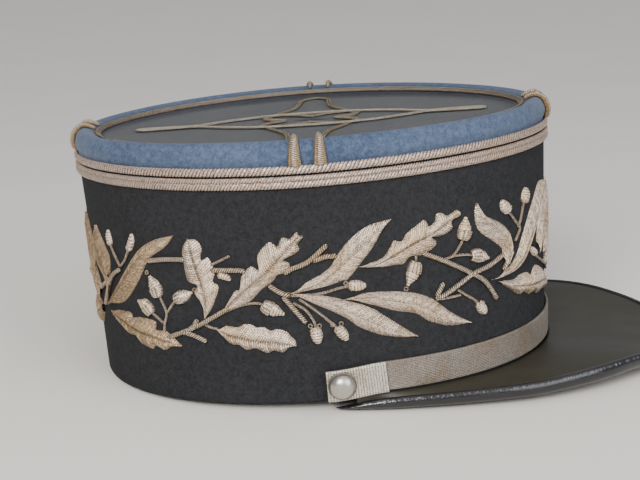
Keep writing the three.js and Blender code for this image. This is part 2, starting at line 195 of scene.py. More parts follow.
@dataclass(frozen=True)
class CapForm:
    """The oval wall and the roof line that everything on the cap is laid on."""

    base: Oval = Oval(103.0, 84.2, 2.2, -0.028, 0.0)
    seam: Oval = Oval(106.4, 86.7, 1.86, -0.04, -0.56)
    seam_height: float = 91.9
    seam_dip: float = 0.4
    walk_height: float = 45.0

    def wall(self, angle: Array, height: Array, outset: Array | float) -> Array:
        """Points on the band's outer face.

        Args:
            angle: Angles from the front.
            height: Heights above the base edge.
            outset: Distance outside the face.

        Returns:
            The points, with a last axis of three.
        """
        share = np.minimum(height / self.seam_height, 1.0)
        foot_forward, foot_side, _ = self.base.spot(angle, outset)
        head_forward, head_side, length_share = self.seam.spot(angle, outset)
        forward = foot_forward + (head_forward - foot_forward) * share
        side = foot_side + (head_side - foot_side) * share
        level = height - share * self.seam_dip * length_share**2
        return np.stack(np.broadcast_arrays(side, -forward, level), axis=-1)

    def roof(self, angle: Array, outset: Array | float, height: Array | float, dip: Array | float) -> Array:
        """Points of the crown, from its seam oval.

        Args:
            angle: Angles from the front.
            outset: Distance outside the seam oval.
            height: Height at the sides.
            dip: Height lost at front and back.

        Returns:
            The points, with a last axis of three.
        """
        forward, side, share = self.seam.spot(angle, outset)
        return np.stack(np.broadcast_arrays(side, -forward, height - dip * share**2), axis=-1)

    def angle_at(self, oval: Oval, forward: Array | float) -> Array:
        """Angle on the left half where an oval reaches a forward distance."""
        share = (np.asarray(forward, float) - oval.shift) / oval.half_length
        return np.arccos(np.clip(signed_power(share, oval.power / 2), -1, 1))

    def walk(self, distance: Array) -> Array:
        """Angles on the right half of the wall, at a distance walked forward from the middle of the side."""
        angle = np.linspace(-math.pi, 0, 2001)
        length = running_length(self.wall(angle, np.full_like(angle, self.walk_height), 0.0))
        middle = np.interp(-math.pi / 2, angle, length)
        return np.interp(distance + middle, length, angle)

    def even_angles(self, count: int) -> Array:
        """Angles once round the seam, evenly spaced along it, without a repeat."""
        angle = np.linspace(-math.pi, math.pi, 4001)
        length = running_length(self.roof(angle, 0.0, 0.0, 0.0))
        return np.interp(np.linspace(0, length[-1], count + 1)[:-1], length, angle)


# ---------------------------------------------------------------- meshes


class MeshDraft:
    """Grids of points with named marks, gathered into one mesh."""

    def __init__(self) -> None:
        """An empty draft."""
        self.points: list[Array] = []
        self.faces: list[Array] = []
        self.marks: list[dict[str, Array]] = []
        self.count = 0

    def add_grid(self, points: Array, marks: dict[str, Array], loop_rows: bool = False, loop_columns: bool = False) -> None:
        """Adds a grid of four-sided faces.

        Args:
            points: Points by row and column, in level millimetres.
            marks: A value by row and column for each mark.
            loop_rows: True if the last row joins the first.
            loop_columns: True if the last column joins the first.
        """
        rows, columns = points.shape[:2]
        index = np.arange(rows * columns).reshape(rows, columns) + self.count
        if loop_rows:
            index = np.vstack([index, index[:1]])
        if loop_columns:
            index = np.hstack([index, index[:, :1]])
        corners = [index[:-1, :-1], index[1:, :-1], index[1:, 1:], index[:-1, 1:]]
        self.faces.append(np.stack(corners, axis=-1).reshape(-1, 4))
        self.points.append(points.reshape(-1, 3))
        self.marks.append({k: np.broadcast_to(v, (rows, columns)).ravel() for k, v in marks.items()})
        self.count += rows * columns

    def object(self, name: str, space: CapSpace) -> bpy.types.Object:
        """The draft as an object in the row frame, smooth, with its faces turned outwards.

        Args:
            name: The piece's name.
            space: The cap's pose.

        Returns:
            The new object, linked to the scene.
        """
        mesh = bpy.data.meshes.new(name)
        points = space.place(np.concatenate(self.points))
        faces = np.concatenate(self.faces)
        mesh.vertices.add(len(points))
        mesh.vertices.foreach_set("co", points.astype(np.float32).ravel())
        mesh.loops.add(faces.size)
        mesh.loops.foreach_set("vertex_index", faces.astype(np.int32).ravel())
        mesh.polygons.add(len(faces))
        mesh.polygons.foreach_set("loop_start", np.arange(0, faces.size, 4, dtype=np.int32))
        mesh.update(calc_edges=True)
        mesh.validate()
        for mark in self.marks[0]:
            values = np.concatenate([marks[mark] for marks in self.marks]).astype(np.float32)
            mesh.attributes.new(mark, "FLOAT", "POINT").data.foreach_set("value", values)
        shell = bmesh.new()
        shell.from_mesh(mesh)
        bmesh.ops.recalc_face_normals(shell, faces=shell.faces)
        shell.to_mesh(mesh)
        shell.free()
        mesh.polygons.foreach_set("use_smooth", np.ones(len(mesh.polygons), bool))
        made = bpy.data.objects.new(name, mesh)
        bpy.context.scene.collection.objects.link(made)
        return made


@dataclass(frozen=True)
class Piece:
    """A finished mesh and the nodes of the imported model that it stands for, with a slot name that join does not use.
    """

    name: str
    slot: str
    stands_for: tuple[str, ...] = ()

    def join(self, draft: MeshDraft, space: CapSpace, material: bpy.types.Material) -> bpy.types.Object:
        """Builds the piece, dresses it and lets it ride on the cap.

        Args:
            draft: The gathered grids.
            space: The cap's pose.
            material: The piece's finish.

        Returns:
            The finished object.
        """
        made = draft.object(self.name, space)
        made.data.materials.append(material)
        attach(made, "root")
        if self.stands_for:
            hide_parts(*self.stands_for)
        LOG.info("%s: %d faces", self.name, len(made.data.polygons))
        return made


# ---------------------------------------------------------------- cords


@dataclass(frozen=True)
class Rope:
    """A twisted cord. flat is its height as a share of its width, end_share its last radius as a share of its first."""

    radius: float
    strands: int
    lay: float
    flat: float = 1.0
    per_strand: int = 3
    end_share: float = 1.0

    def outline(self) -> tuple[Array, Array]:
        """The cord's section.

        Returns:
            Angles round the section, and the radius there as a share of the cord's own.
        """
        count = self.strands * self.per_strand
        theta = np.arange(count) * 2 * math.pi / count
        half = math.pi / self.strands
        local = (theta + half) % (2 * half) - half
        reach = 0.86
        strand = reach * math.sin(half) if self.strands > 2 else 0.72
        centre = 1 - strand
        radius = centre * np.cos(local) + np.sqrt(np.maximum(strand**2 - (centre * np.sin(local)) ** 2, 0))
        return theta, np.maximum(radius, 0.6)

    def lay_along(self, draft: MeshDraft, path: Array, up: Array, closed: bool = False, taper: bool = True) -> None:
        """Adds the cord along a path.

        Args:
            draft: Where the grid goes.
            path: Points of the middle line, in level millimetres.
            up: Direction away from the cloth at each point.
            closed: True if the path joins up.
            taper: True if open ends are rounded off.
        """
        run = np.vstack([path, path[:1]]) if closed else path
        lift = np.vstack([up, up[:1]]) if closed else up
        length = running_length(run)
        step = self.lay / (self.strands * self.per_strand)
        turns = max(1.0, round(length[-1] / self.lay)) if closed else length[-1] / self.lay
        count = max(4, int(turns * self.lay / step))
        where = np.linspace(0, length[-1], count + 1)
        if closed:
            where = where[:-1]
        line = np.stack([np.interp(where, length, run[:, k]) for k in range(3)], axis=1)
        raised = unit(np.stack([np.interp(where, length, lift[:, k]) for k in range(3)], axis=1))
        if closed:
            tangent = unit(np.roll(line, -1, axis=0) - np.roll(line, 1, axis=0))
        else:
            tangent = unit(np.gradient(line, axis=0))
        across = unit(np.cross(tangent, raised))
        raised = np.cross(across, tangent)
        theta, radius = self.outline()
        twist = where / length[-1] * turns * 2 * math.pi
        angle = theta[None, :] + twist[:, None]
        size = self.radius * (1 - (1 - self.end_share) * (where / length[-1]) ** 1.4)
        if taper and not closed:
            ends = np.minimum(where, length[-1] - where) / self.radius
            size = size * np.sqrt(np.clip(1 - (1 - np.clip(ends, 0.02, 1)) ** 2, 0.001, 1))
        reach = radius[None, :] * size[:, None]
        points = line[:, None, :] + across[:, None, :] * (reach * np.cos(angle))[..., None]
        points = points + raised[:, None, :] * (reach * np.sin(angle) * self.flat)[..., None]
        # crest is painted shade: the thread's colour is darkest in the grooves between strands and lightest on the
        # strand tops.
        crest = (radius - radius.min()) / max(float(np.ptp(radius)), 1e-6)
        marks = {
            "run": np.broadcast_to(where[:, None], angle.shape),
            "crest": np.broadcast_to(np.sqrt(crest)[None, :], angle.shape),
            "thread": where[:, None] / 0.55 + theta[None, :] * 1.6,
            "age": 0.0,
        }
        draft.add_grid(points, marks, loop_rows=closed, loop_columns=True)


# ---------------------------------------------------------------- shader work


class Tree:
    """A node tree while it is being filled."""

    def __init__(self, tree: bpy.types.NodeTree) -> None:
        """Takes the tree to fill."""
        self.tree = tree

    def add(self, kind: str, settings: dict[str, Any] | None = None, **inputs: Any) -> bpy.types.Node:
        """Adds a node.

        Args:
            kind: The node's type, without its leading ShaderNode.
            settings: Values for the node's own properties.
            inputs: Values or output sockets for its inputs, with _ for a space in their names.

        Returns:
            The new node.
        """
        prefix = "" if kind.startswith("Node") else "ShaderNode"
        node = self.tree.nodes.new(prefix + kind)
        for key, value in (settings or {}).items():
            setattr(node, key, value)
        for key, value in inputs.items():
            self.feed(node.inputs[key.replace("_", " ")], value)
        return node

    def feed(self, socket: bpy.types.NodeSocket, value: Any) -> None:
        """Links a socket to an output, or gives it a value."""
        if isinstance(value, bpy.types.NodeSocket):
            self.tree.links.new(value, socket)
        else:
            socket.default_value = value

    def noise(self, vector: Any, scale: Any, detail: float = 4.0, roughness: float = 0.55) -> bpy.types.NodeSocket:
        """A noise texture's value from a coordinate."""
        return self.add("TexNoise", None, Vector=vector, Scale=scale, Detail=detail, Roughness=roughness).outputs[0]

    def math(self, operation: str, *values: Any) -> bpy.types.NodeSocket:
        """The result of a Math node on one, two or three values."""
        node = self.add("Math", {"operation": operation})
        for socket, value in zip(node.inputs, values):
            self.feed(socket, value)
        return node.outputs[0]

    def remap(self, value: Any, low: float, high: float, to_low: float, to_high: float) -> bpy.types.NodeSocket:
        """A value moved from one range to another, and held inside it."""
        node = self.add("MapRange", None, Value=value, From_Min=low, From_Max=high, To_Min=to_low, To_Max=to_high)
        return node.outputs[0]

    def mix(self, share: Any, first: Any, second: Any, blend: str = "MIX") -> bpy.types.NodeSocket:
        """A blend of two colours.

        Args:
            share: How much of the second shows.
            first: The first colour or socket.
            second: The second colour or socket.
            blend: The way the two are blended.

        Returns:
            The blended colour.
        """
        node = self.add("Mix", {"data_type": "RGBA", "blend_type": blend})
        self.feed(node.inputs[0], share)
        for socket, value in ((node.inputs[6], first), (node.inputs[7], second)):
            self.feed(socket, (*value, 1.0) if isinstance(value, tuple) else value)
        return node.outputs[2]


def effect(name: str, inputs: dict[str, str], outputs: dict[str, str]) -> tuple[Tree, bpy.types.Node, bpy.types.Node]:
    """Starts a shader node group.

    Args:
        name: The group's name.
        inputs: Each input's name and its kind: Color, Float or Vector.
        outputs: Each output's name and its kind.

    Returns:
        The tree to fill, its input node and its output node.
    """
    group = bpy.data.node_groups.new(name, "ShaderNodeTree")
    for direction, sockets in (("INPUT", inputs), ("OUTPUT", outputs)):
        for socket, kind in sockets.items():
            group.interface.new_socket(socket, in_out=direction, socket_type=f"NodeSocket{kind}")
    tree = Tree(group)
    return tree, tree.add("NodeGroupInput"), tree.add("NodeGroupOutput")


class Effects:
    """The shader effects that several finishes share, each built once."""

    def __init__(self) -> None:
        """Builds every group."""
        self.nap = self._nap()
        self.thread = self._thread()
        self.blotches = self._blotches()
        self.grain = self._grain()

    def _nap(self) -> bpy.types.NodeTree:
        """Short wool nap: mottled colour, fine fibre height and roughness."""
        tree, given, result = effect(
            "WoolNap",
            {"Deep": "Color", "Light": "Color", "Fibre Scale": "Float", "Mottle": "Float"},
            {"Color": "Color", "Height": "Float", "Roughness": "Float"},
        )
        place = tree.add("TexCoord").outputs["Object"]
        fibre = tree.noise(place, given.outputs["Fibre Scale"], 3.0, 0.7)
        tuft = tree.noise(place, 420.0, 3.0, 0.65)
        broad = tree.noise(place, 26.0, 2.0, 0.5)
        patchy = tree.math("MULTIPLY", tree.math("SUBTRACT", broad, 0.5), given.outputs["Mottle"])
        mixed = tree.math("ADD", tree.math("MULTIPLY", fibre, 0.5), tree.math("MULTIPLY", tuft, 0.5))
        share = tree.remap(tree.math("ADD", mixed, patchy), 0.36, 0.64, 0.0, 1.0)
        tree.feed(result.inputs["Color"], tree.mix(share, given.outputs["Deep"], given.outputs["Light"]))
        tree.feed(result.inputs["Height"], mixed)
        tree.feed(result.inputs["Roughness"], tree.remap(tuft, 0.3, 0.7, 0.86, 1.0))
        return tree.tree

    def _thread(self) -> bpy.types.NodeTree:
        """Wound metal thread: fine wraps, painted shade in the valleys, lighter crests with a painted sparkle in
        specks, and tarnish in patches.
        """
        tree, given, result = effect(
            "MetalThread",
            {"Turns": "Float", "Crest": "Float", "Deep": "Color", "Light": "Color", "Tarnish": "Color", "Tarnished": "Float"},
            {"Color": "Color", "Height": "Float", "Roughness": "Float", "Metallic": "Float"},
        )
        place = tree.add("TexCoord").outputs["Object"]
        wave = tree.math("SINE", tree.math("MULTIPLY", given.outputs["Turns"], 2 * math.pi))
        wrap = tree.remap(wave, -1.0, 1.0, 0.0, 1.0)
        fleck = tree.noise(place, 1300.0, 2.0, 0.7)
        patch = tree.noise(place, 55.0, 4.0, 0.6)
        # The crest input sets the colour from Deep to Light as painted shade in the grooves; fleck lifts it in tiny
        # specks as a painted sparkle.
        crest = tree.math("MULTIPLY", given.outputs["Crest"], tree.remap(fleck, 0.38, 0.62, 0.5, 1.45))
        light = tree.mix(tree.remap(crest, 0.12, 0.9, 0.0, 1.0), given.outputs["Deep"], given.outputs["Light"])
        # wrapped darkens the colour between the thread's fine wraps: painted shade.
        wrapped = tree.mix(tree.remap(wrap, 0.0, 0.6, 0.3, 0.0), light, given.outputs["Deep"])
        # The tarnish amount also carries painted shade from a mark.
        shift = tree.math("ADD", patch, tree.math("SUBTRACT", given.outputs["Tarnished"], 0.5))
        share = tree.remap(shift, 0.42, 0.66, 0.0, 1.0)
        tree.feed(result.inputs["Color"], tree.mix(share, wrapped, given.outputs["Tarnish"], "MULTIPLY"))
        tree.feed(result.inputs["Height"], tree.math("ADD", wrap, tree.math("MULTIPLY", fleck, 0.4)))
        tree.feed(result.inputs["Roughness"], tree.remap(tree.math("ADD", fleck, share), 0.3, 1.5, 0.34, 0.62))
        tree.feed(result.inputs["Metallic"], tree.remap(share, 0.0, 1.0, 0.55, 0.4))
        return tree.tree

    def _blotches(self) -> bpy.types.NodeTree:
        """Irregular worn or stained patches as a mask."""
        tree, given, result = effect("Blotches", {"Scale": "Float", "Amount": "Float"}, {"Mask": "Float"})
        place = tree.add("TexCoord").outputs["Object"]
        broad = tree.noise(place, given.outputs["Scale"], 5.0, 0.65)
        shifted = tree.math("ADD", broad, tree.math("SUBTRACT", given.outputs["Amount"], 0.5))
        tree.feed(result.inputs["Mask"], tree.remap(shifted, 0.46, 0.62, 0.0, 1.0))
        return tree.tree

    def _grain(self) -> bpy.types.NodeTree:
        """Lacquered leather: pores, fine crazing and long faint streaks."""
        tree, given, result = effect(
            "LeatherGrain", {"Scale": "Float", "Streaks": "Float"}, {"Height": "Float", "Streak": "Float", "Craze": "Float"}
        )
        place = tree.add("TexCoord").outputs["Object"]
        cells = tree.add("TexVoronoi", {"feature": "DISTANCE_TO_EDGE"}, Vector=place, Scale=given.outputs["Scale"])
        pores = tree.noise(place, 1400.0, 2.0, 0.6)
        craze = tree.remap(cells.outputs["Distance"], 0.0, 0.06, 1.0, 0.0)
        stretched = tree.add("Mapping", None, Vector=place, Scale=(1.0, 0.18, 1.0)).outputs[0]
        streak = tree.noise(stretched, given.outputs["Streaks"], 5.0, 0.6)
        height = tree.math("SUBTRACT", tree.math("MULTIPLY", pores, 0.35), tree.math("MULTIPLY", craze, 0.5))
        tree.feed(result.inputs["Height"], height)
        tree.feed(result.inputs["Streak"], tree.remap(streak, 0.35, 0.68, 0.0, 1.0))
        tree.feed(result.inputs["Craze"], craze)
        return tree.tree


class Finish:
    """A material being made: its tree, its shader and a bump on it."""

    def __init__(self, name: str, bump: float, **constants: Any) -> None:
        """Starts a material with one Principled shader.

        Args:
            name: The material's name.
            bump: The bump's depth in millimetres.
            constants: Plain values for the shader's sockets.
        """
        self.material = bpy.data.materials.new(name)
        self.material.use_nodes = True
        self.tree = Tree(self.material.node_tree)
        self.shader = self.material.node_tree.nodes["Principled BSDF"]
        for key, value in constants.items():
            self.shader.inputs[key.replace("_", " ")].default_value = value
        self.bump = self.tree.add("Bump", None, Strength=1.0, Distance=bump * MM)
        self.tree.feed(self.shader.inputs["Normal"], self.bump.outputs[0])

    def feed(self, **inputs: Any) -> None:
        """Links varying values to the shader, with Height going to the bump."""
        for key, value in inputs.items():
            target = self.bump.inputs["Height"] if key == "Height" else self.shader.inputs[key.replace("_", " ")]
            self.tree.feed(target, value)

    def group(self, group: bpy.types.NodeTree, **inputs: Any) -> bpy.types.Node:
        """Places a shared effect, with its own values."""
        node = self.tree.add("Group", {"node_tree": group})
        for key, value in inputs.items():
            value = (*value, 1.0) if isinstance(value, tuple) else value
            self.tree.feed(node.inputs[key.replace("_", " ")], value)
        return node

    def mark(self, name: str) -> bpy.types.NodeSocket:
        """A named mark on the mesh."""
        return self.tree.add("Attribute", {"attribute_name": name}).outputs["Fac"]


@dataclass(frozen=True)
class WoolFinish:
    """Fulled wool cloth."""

    name: str
    deep: Colour
    light: Colour
    fibre_scale: float
    mottle: float
    sheen: float
    bump: float

    def make(self, effects: Effects) -> bpy.types.Material:
        """The cloth's material."""
        finish = Finish(self.name, self.bump, Sheen_Weight=self.sheen, Sheen_Roughness=0.5, Specular_IOR_Level=0.15)
        nap = finish.group(
            effects.nap, Deep=self.deep, Light=self.light, Fibre_Scale=self.fibre_scale, Mottle=self.mottle
        )
        finish.feed(Base_Color=nap.outputs["Color"], Roughness=nap.outputs["Roughness"], Height=nap.outputs["Height"])
        return finish.material


@dataclass(frozen=True)
class CrownFinish:
    """Blue wool, greyer and darker on the flat disc than on the roll: partly dust, partly painted shade."""

    name: str = "blue_wool"
    roll_deep: Colour = (0.041, 0.062, 0.114)
    roll_light: Colour = (0.098, 0.136, 0.214)
    disc_deep: Colour = (0.023, 0.026, 0.032)
    disc_light: Colour = (0.050, 0.053, 0.060)

    def make(self, effects: Effects) -> bpy.types.Material:
        """The crown's material."""
        finish = Finish(self.name, 0.5, Sheen_Weight=0.12, Sheen_Roughness=0.5, Specular_IOR_Level=0.12)
        roll = finish.group(effects.nap, Deep=self.roll_deep, Light=self.roll_light, Fibre_Scale=1000.0, Mottle=0.25)
        disc = finish.group(effects.nap, Deep=self.disc_deep, Light=self.disc_light, Fibre_Scale=1000.0, Mottle=0.3)
        # The disc's colours are partly dust and partly painted shade.
        colour = finish.tree.mix(finish.mark("flat"), roll.outputs["Color"], disc.outputs["Color"])
        finish.feed(Base_Color=colour, Roughness=roll.outputs["Roughness"], Height=roll.outputs["Height"])
        return finish.material


@dataclass(frozen=True)
class ThreadFinish:
    """Metal thread, wound into cord or laid as stitches."""

    name: str
    deep: Colour
    light: Colour
    tarnish: Colour
    tarnished: float
    bump: float = 0.08

    def make(self, effects: Effects) -> bpy.types.Material:
        """The thread's material."""
        finish = Finish(self.name, self.bump, Specular_IOR_Level=0.5)
        thread = finish.group(
            effects.thread,
            Turns=finish.mark("thread"),
            Crest=finish.mark("crest"),
            Deep=self.deep,
            Light=self.light,
            Tarnish=self.tarnish,
            # This mark darkens the rear leaves as painted shade, through the tarnish mix.
            Tarnished=finish.tree.math("ADD", finish.mark("age"), self.tarnished),
        )
        finish.feed(
            Base_Color=thread.outputs["Color"],
            Roughness=thread.outputs["Roughness"],
            Metallic=thread.outputs["Metallic"],
            Height=thread.outputs["Height"],
        )
        return finish.material


@dataclass(frozen=True)
class LaceFinish:
    """Flat woven metal lace with brown stains."""

    name: str
    stained: float
    deep: Colour
    light: Colour
    stain: Colour = (0.42, 0.34, 0.27)

    def make(self, effects: Effects) -> bpy.types.Material:
        """The lace's material."""
        finish = Finish(self.name, 0.07, Specular_IOR_Level=0.4)
        thread = finish.group(
            effects.thread,
            Turns=finish.mark("thread"),
            Crest=finish.mark("crest"),
            Deep=self.deep,
            Light=self.light,
            Tarnish=(0.75, 0.66, 0.55),
            Tarnished=0.45,
        )
        blotches = finish.group(effects.blotches, Scale=75.0, Amount=self.stained)
        share = finish.tree.math("MULTIPLY", blotches.outputs["Mask"], finish.mark("stain"))
        colour = finish.tree.mix(share, thread.outputs["Color"], self.stain, "MULTIPLY")
        finish.feed(
            Base_Color=colour,
            Roughness=finish.tree.remap(share, 0.0, 1.0, 0.46, 0.75),
            Metallic=finish.tree.remap(share, 0.0, 1.0, 0.5, 0.2),
            Height=thread.outputs["Height"],
        )
        return finish.material


@dataclass(frozen=True)
class LeatherFinish:
    """Lacquered leather, satin or patent."""

    name: str
    colour: Colour
    wear_and_glint: Colour
    shine: Colour
    smooth: float
    rough: float
    coat: float
    coat_roughness: float
    bump: float

    def make(self, effects: Effects) -> bpy.types.Material:
        """The leather's material."""
        finish = Finish(self.name, self.bump, Coat_Weight=self.coat, Coat_Roughness=self.coat_roughness)
        grain = finish.group(effects.grain, Scale=420.0, Streaks=38.0)
        blotches = finish.group(effects.blotches, Scale=30.0, Amount=0.42)
        edge = finish.mark("edge")
        wear_and_glint = finish.tree.math("MULTIPLY", grain.outputs["Streak"], 0.5)
        wear_and_glint = finish.tree.math("ADD", wear_and_glint, finish.tree.math("MULTIPLY", blotches.outputs["Mask"], 0.25))
        body = finish.tree.mix(wear_and_glint, self.colour, self.wear_and_glint)
        # The edge mark mixes in the shine colour: on the binding a painted glint along the crease, on the plate a
        # lighter band at its rim.
        finish.feed(
            Base_Color=finish.tree.mix(edge, body, self.shine),
            Roughness=finish.tree.remap(grain.outputs["Streak"], 0.0, 1.0, self.smooth, self.rough),
            Height=grain.outputs["Height"],
        )
        return finish.material


@dataclass(frozen=True)
class ButtonFinish:
    """Silvered dome, worn, with tarnish towards its rim."""

    name: str = "silvered_button"

    def make(self, effects: Effects) -> bpy.types.Material:
        """The button's material."""
        finish = Finish(self.name, 0.02, Specular_IOR_Level=0.5)
        blotches = finish.group(effects.blotches, Scale=260.0, Amount=0.30)
        grain = finish.group(effects.grain, Scale=900.0, Streaks=400.0)
        edge = finish.tree.math("MAXIMUM", finish.mark("edge"), finish.tree.math("MULTIPLY", blotches.outputs["Mask"], 0.35))
        finish.feed(
            Base_Color=finish.tree.mix(edge, (0.50, 0.48, 0.43), (0.11, 0.09, 0.07)),
            Roughness=finish.tree.remap(edge, 0.0, 1.0, 0.30, 0.5),
            Metallic=finish.tree.remap(edge, 0.0, 1.0, 0.95, 0.7),
            Height=grain.outputs["Height"],
        )
        return finish.material


# ---------------------------------------------------------------- cloth parts


@dataclass(frozen=True)
class Band:
    """The black cloth wall, with a soft lower edge."""

    form: CapForm
    wall: float = 2.5
    top: float = 96.9
    stations: int = 360
    rise: int = 40

    def build(self, space: CapSpace, material: bpy.types.Material) -> None:
        """Builds and dresses the band."""
        draw = np.random.default_rng(11)
        angles = self.form.even_angles(self.stations)
        outside = [(height, 0.0) for height in np.linspace(1.0, self.top, self.rise)]
        inside = [(height, -self.wall) for height in np.linspace(self.top, 1.0, 8)]
        lip = [(0.35, -self.wall + 0.3), (0.0, -self.wall * 0.7), (0.0, -self.wall * 0.3), (0.3, -0.25)]
        rows = np.array(outside + inside + lip)
        phases = draw.uniform(0, 2 * math.pi, 6)
        swell = sum(np.sin(angles * (3 + 2 * k) + phases[k]) / (k + 2) for k in range(6)) * 0.1 - 0.1
        fade = np.clip(rows[:, 0] / 20, 0, 1) * np.clip((self.top - 8 - rows[:, 0]) / 20, 0, 1)
        outset = rows[:, 1][None, :] + swell[:, None] * fade[None, :]
        points = self.form.wall(angles[:, None], rows[:, 0][None, :], outset)
        draft = MeshDraft()
        draft.add_grid(points, {"rise": rows[:, 0][None, :]}, loop_rows=True, loop_columns=True)
        Piece("band_cloth", "black_cloth", ("band",)).join(draft, space, material)


@dataclass(frozen=True)
class RollRow:
    """One line of the crown's section: outset from the seam, height at the sides, and dip at the ends."""

    outset: float
    height: float
    dip: float


ROLL = (
    RollRow(0.0, 97.2, 0.4),
    RollRow(0.0, 100.6, 0.4),
    RollRow(0.9, 103.6, 0.7),
    RollRow(0.5, 106.8, 0.9),
    RollRow(-0.8, 109.1, 1.1),
    RollRow(-2.9, 110.3, 1.1),
    RollRow(-5.2, 109.9, 1.1),
    RollRow(-7.4, 108.8, 1.0),
    RollRow(-9.6, 107.2, 0.8),
    RollRow(-12.4, 105.2, 0.3),
    RollRow(-15.5, 104.5, 0.0),
)


@dataclass(frozen=True)
class Crown:
    """The blue cloth top: roll, sunken disc and plain underside."""

    form: CapForm
    disc_top: float = 104.5
    disc_underside: float = 102.2
    stations: int = 360

    def build(self, space: CapSpace, material: bpy.types.Material) -> None:
        """Builds and dresses the crown."""
        angles = self.form.even_angles(self.stations)
        rows = smooth_line(np.array([(r.outset, r.height, r.dip) for r in ROLL]), 4)
        draw = np.random.default_rng(5)
        phases = draw.uniform(0, 2 * math.pi, 8)
        wobble = sum(np.sin(angles * (4 + 3 * k) + phases[k]) / (k + 3) for k in range(8)) * 0.12
        fade = np.clip((rows[:, 1] - 101.5) / 4, 0, 1) * np.clip((rows[:, 0] + 12) / 6, 0, 1)
        roof = self.form.roof(angles[:, None], rows[:, 0] + wobble[:, None] * fade, rows[:, 1], rows[:, 2])
        rim = self.form.roof(angles, ROLL[-1].outset, ROLL[-1].height, 0.0)
        inner = [rim * [share, share, 0] + [0, 0, self.disc_top] for share in (0.97, 0.85, 0.7, 0.5, 0.3, 0.12, 0.01)]
        below = [rim * [share, share, 0] + [0, 0, self.disc_underside] for share in (0.01, 0.5, 1.0)]
        lining = [(-9.0, 102.6, 0.2), (-4.6, 104.4, 0.6), (-2.6, 102.2, 0.6), (-2.5, 97.2, 0.4), (-1.2, 97.0, 0.4)]
        under = [self.form.roof(angles, *row) for row in lining]
        points = np.concatenate([roof, np.stack([*inner, *below, *under], axis=1)], axis=1)
        draft = MeshDraft()
        # flat picks the disc's greyer, darker colours, partly dust and partly painted shade; the underside takes them
        # too.
        flat = np.concatenate([np.clip((-5.5 - rows[:, 0]) / 5, 0, 1), np.ones(points.shape[1] - len(rows))])
        draft.add_grid(points, {"flat": flat[None, :]}, loop_rows=True, loop_columns=True)
        Piece("crown_cloth", "blue_cloth", ("crown",)).join(draft, space, material)


# ---------------------------------------------------------------- braid and cords


@dataclass(frozen=True)
class BraidRow:
    """One row of seam braid, by the heights of its foot and top."""

    name: str
    foot: float
    top: float
    lay: float


@dataclass(frozen=True)
class SeamBraids:
    """Three rows of twisted silver braid over the seam."""

    form: CapForm
    rows: tuple[BraidRow, ...] = (
        BraidRow("braid_lower", 91.9, 94.3, 4.2),
        BraidRow("braid_middle", 94.6, 96.3, 3.6),
        BraidRow("braid_upper", 97.5, 100.5, 4.8),
    )
    proud: float = 1.7
    gap: float = 0.3

    def build(self, space: CapSpace, material: bpy.types.Material) -> None:
        """Builds and dresses the rows."""
        angles = self.form.even_angles(720)
        for row in self.rows:
            half = (row.top - row.foot) / 2
            width = half + 0.3
            depth = min(half, (self.proud + 0.1) / 2)
            path = self.form.wall(angles, np.full_like(angles, row.foot + half), self.gap + depth - 0.1)
            outer = self.form.wall(angles, np.full_like(angles, row.foot + half), self.gap + depth + 1)
            draft = MeshDraft()
            Rope(width, 3, row.lay, depth / width, 4).lay_along(draft, path, unit(outer - path), closed=True)
            Piece(f"{row.name}_cord", "silver_braid", (row.name,)).join(draft, space, material)


@dataclass(frozen=True)
class RimLoops:
    """Double cords over the roll, a pair at front, back, left and right."""

    form: CapForm
    spacing: float = 10.0
    side_shift: float = 2.1
    end_outset: float = -8.0
    cord: Rope = Rope(0.95, 3, 2.0, end_share=0.5)
    core: Rope = Rope(1.5, 3, 2.4, flat=0.85, end_share=0.5)
    half_gap: float = 1.75
    gap: float = 0.3

    def angles(self) -> dict[str, float]:
        """The angle of each double cord, by its place's name."""
        half = self.spacing / 2
        end = math.asin((half / self.form.seam.half_width) ** (self.form.seam.power / 2))
        before = float(self.form.angle_at(self.form.seam, self.side_shift + half))
        behind = float(self.form.angle_at(self.form.seam, self.side_shift - half))
        return {
            "front_left": end,
            "front_right": -end,
            "rear_left": math.pi - end,
            "rear_right": math.pi + end,
            "left_front": before,
            "left_rear": behind,
            "right_front": -before,
            "right_rear": -behind,
        }

    def build(self, space: CapSpace, outer: bpy.types.Material, inner: bpy.types.Material) -> None:
        """Builds and dresses the eight double cords.

        Args:
            space: The cap's pose.
            outer: Finish of the two outer cords.
            inner: Finish of the core between them.
        """
        rows = smooth_line(np.array([(r.outset, r.height, r.dip) for r in ROLL[1:]]), 6)
        rows = rows[rows[:, 0] > self.end_outset]
        for place, angle in self.angles().items():
            line = self.form.roof(np.full(len(rows), angle), rows[:, 0], rows[:, 1], rows[:, 2])
            aside = self.form.roof(np.array([angle - 1e-3, angle + 1e-3]), 0.0, 0.0, 0.0)
            tangent = unit(aside[1] - aside[0])
            run = unit(np.gradient(line, axis=0))
            up = unit(np.cross(run, np.broadcast_to(tangent, run.shape)))
            if float((up[:, 2]).mean()) < 0:
                up = -up
            narrow = 1 - 0.85 * shares(len(line)) ** 1.3
            sides, middle = MeshDraft(), MeshDraft()
            for hand in (-1, 1):
                offset = tangent[None, :] * (hand * self.half_gap * narrow)[:, None]
                self.cord.lay_along(sides, line + offset + up * (self.gap + self.cord.radius - 0.25), up)
            self.core.lay_along(middle, line + up * (self.gap + self.core.radius - 0.25), up)
            Piece(f"rim_loop_{place}_cords", "tarnished_cord", (f"rim_loop_{place}",)).join(sides, space, outer)
            Piece(f"rim_loop_{place}_core", "silver_braid").join(middle, space, inner)


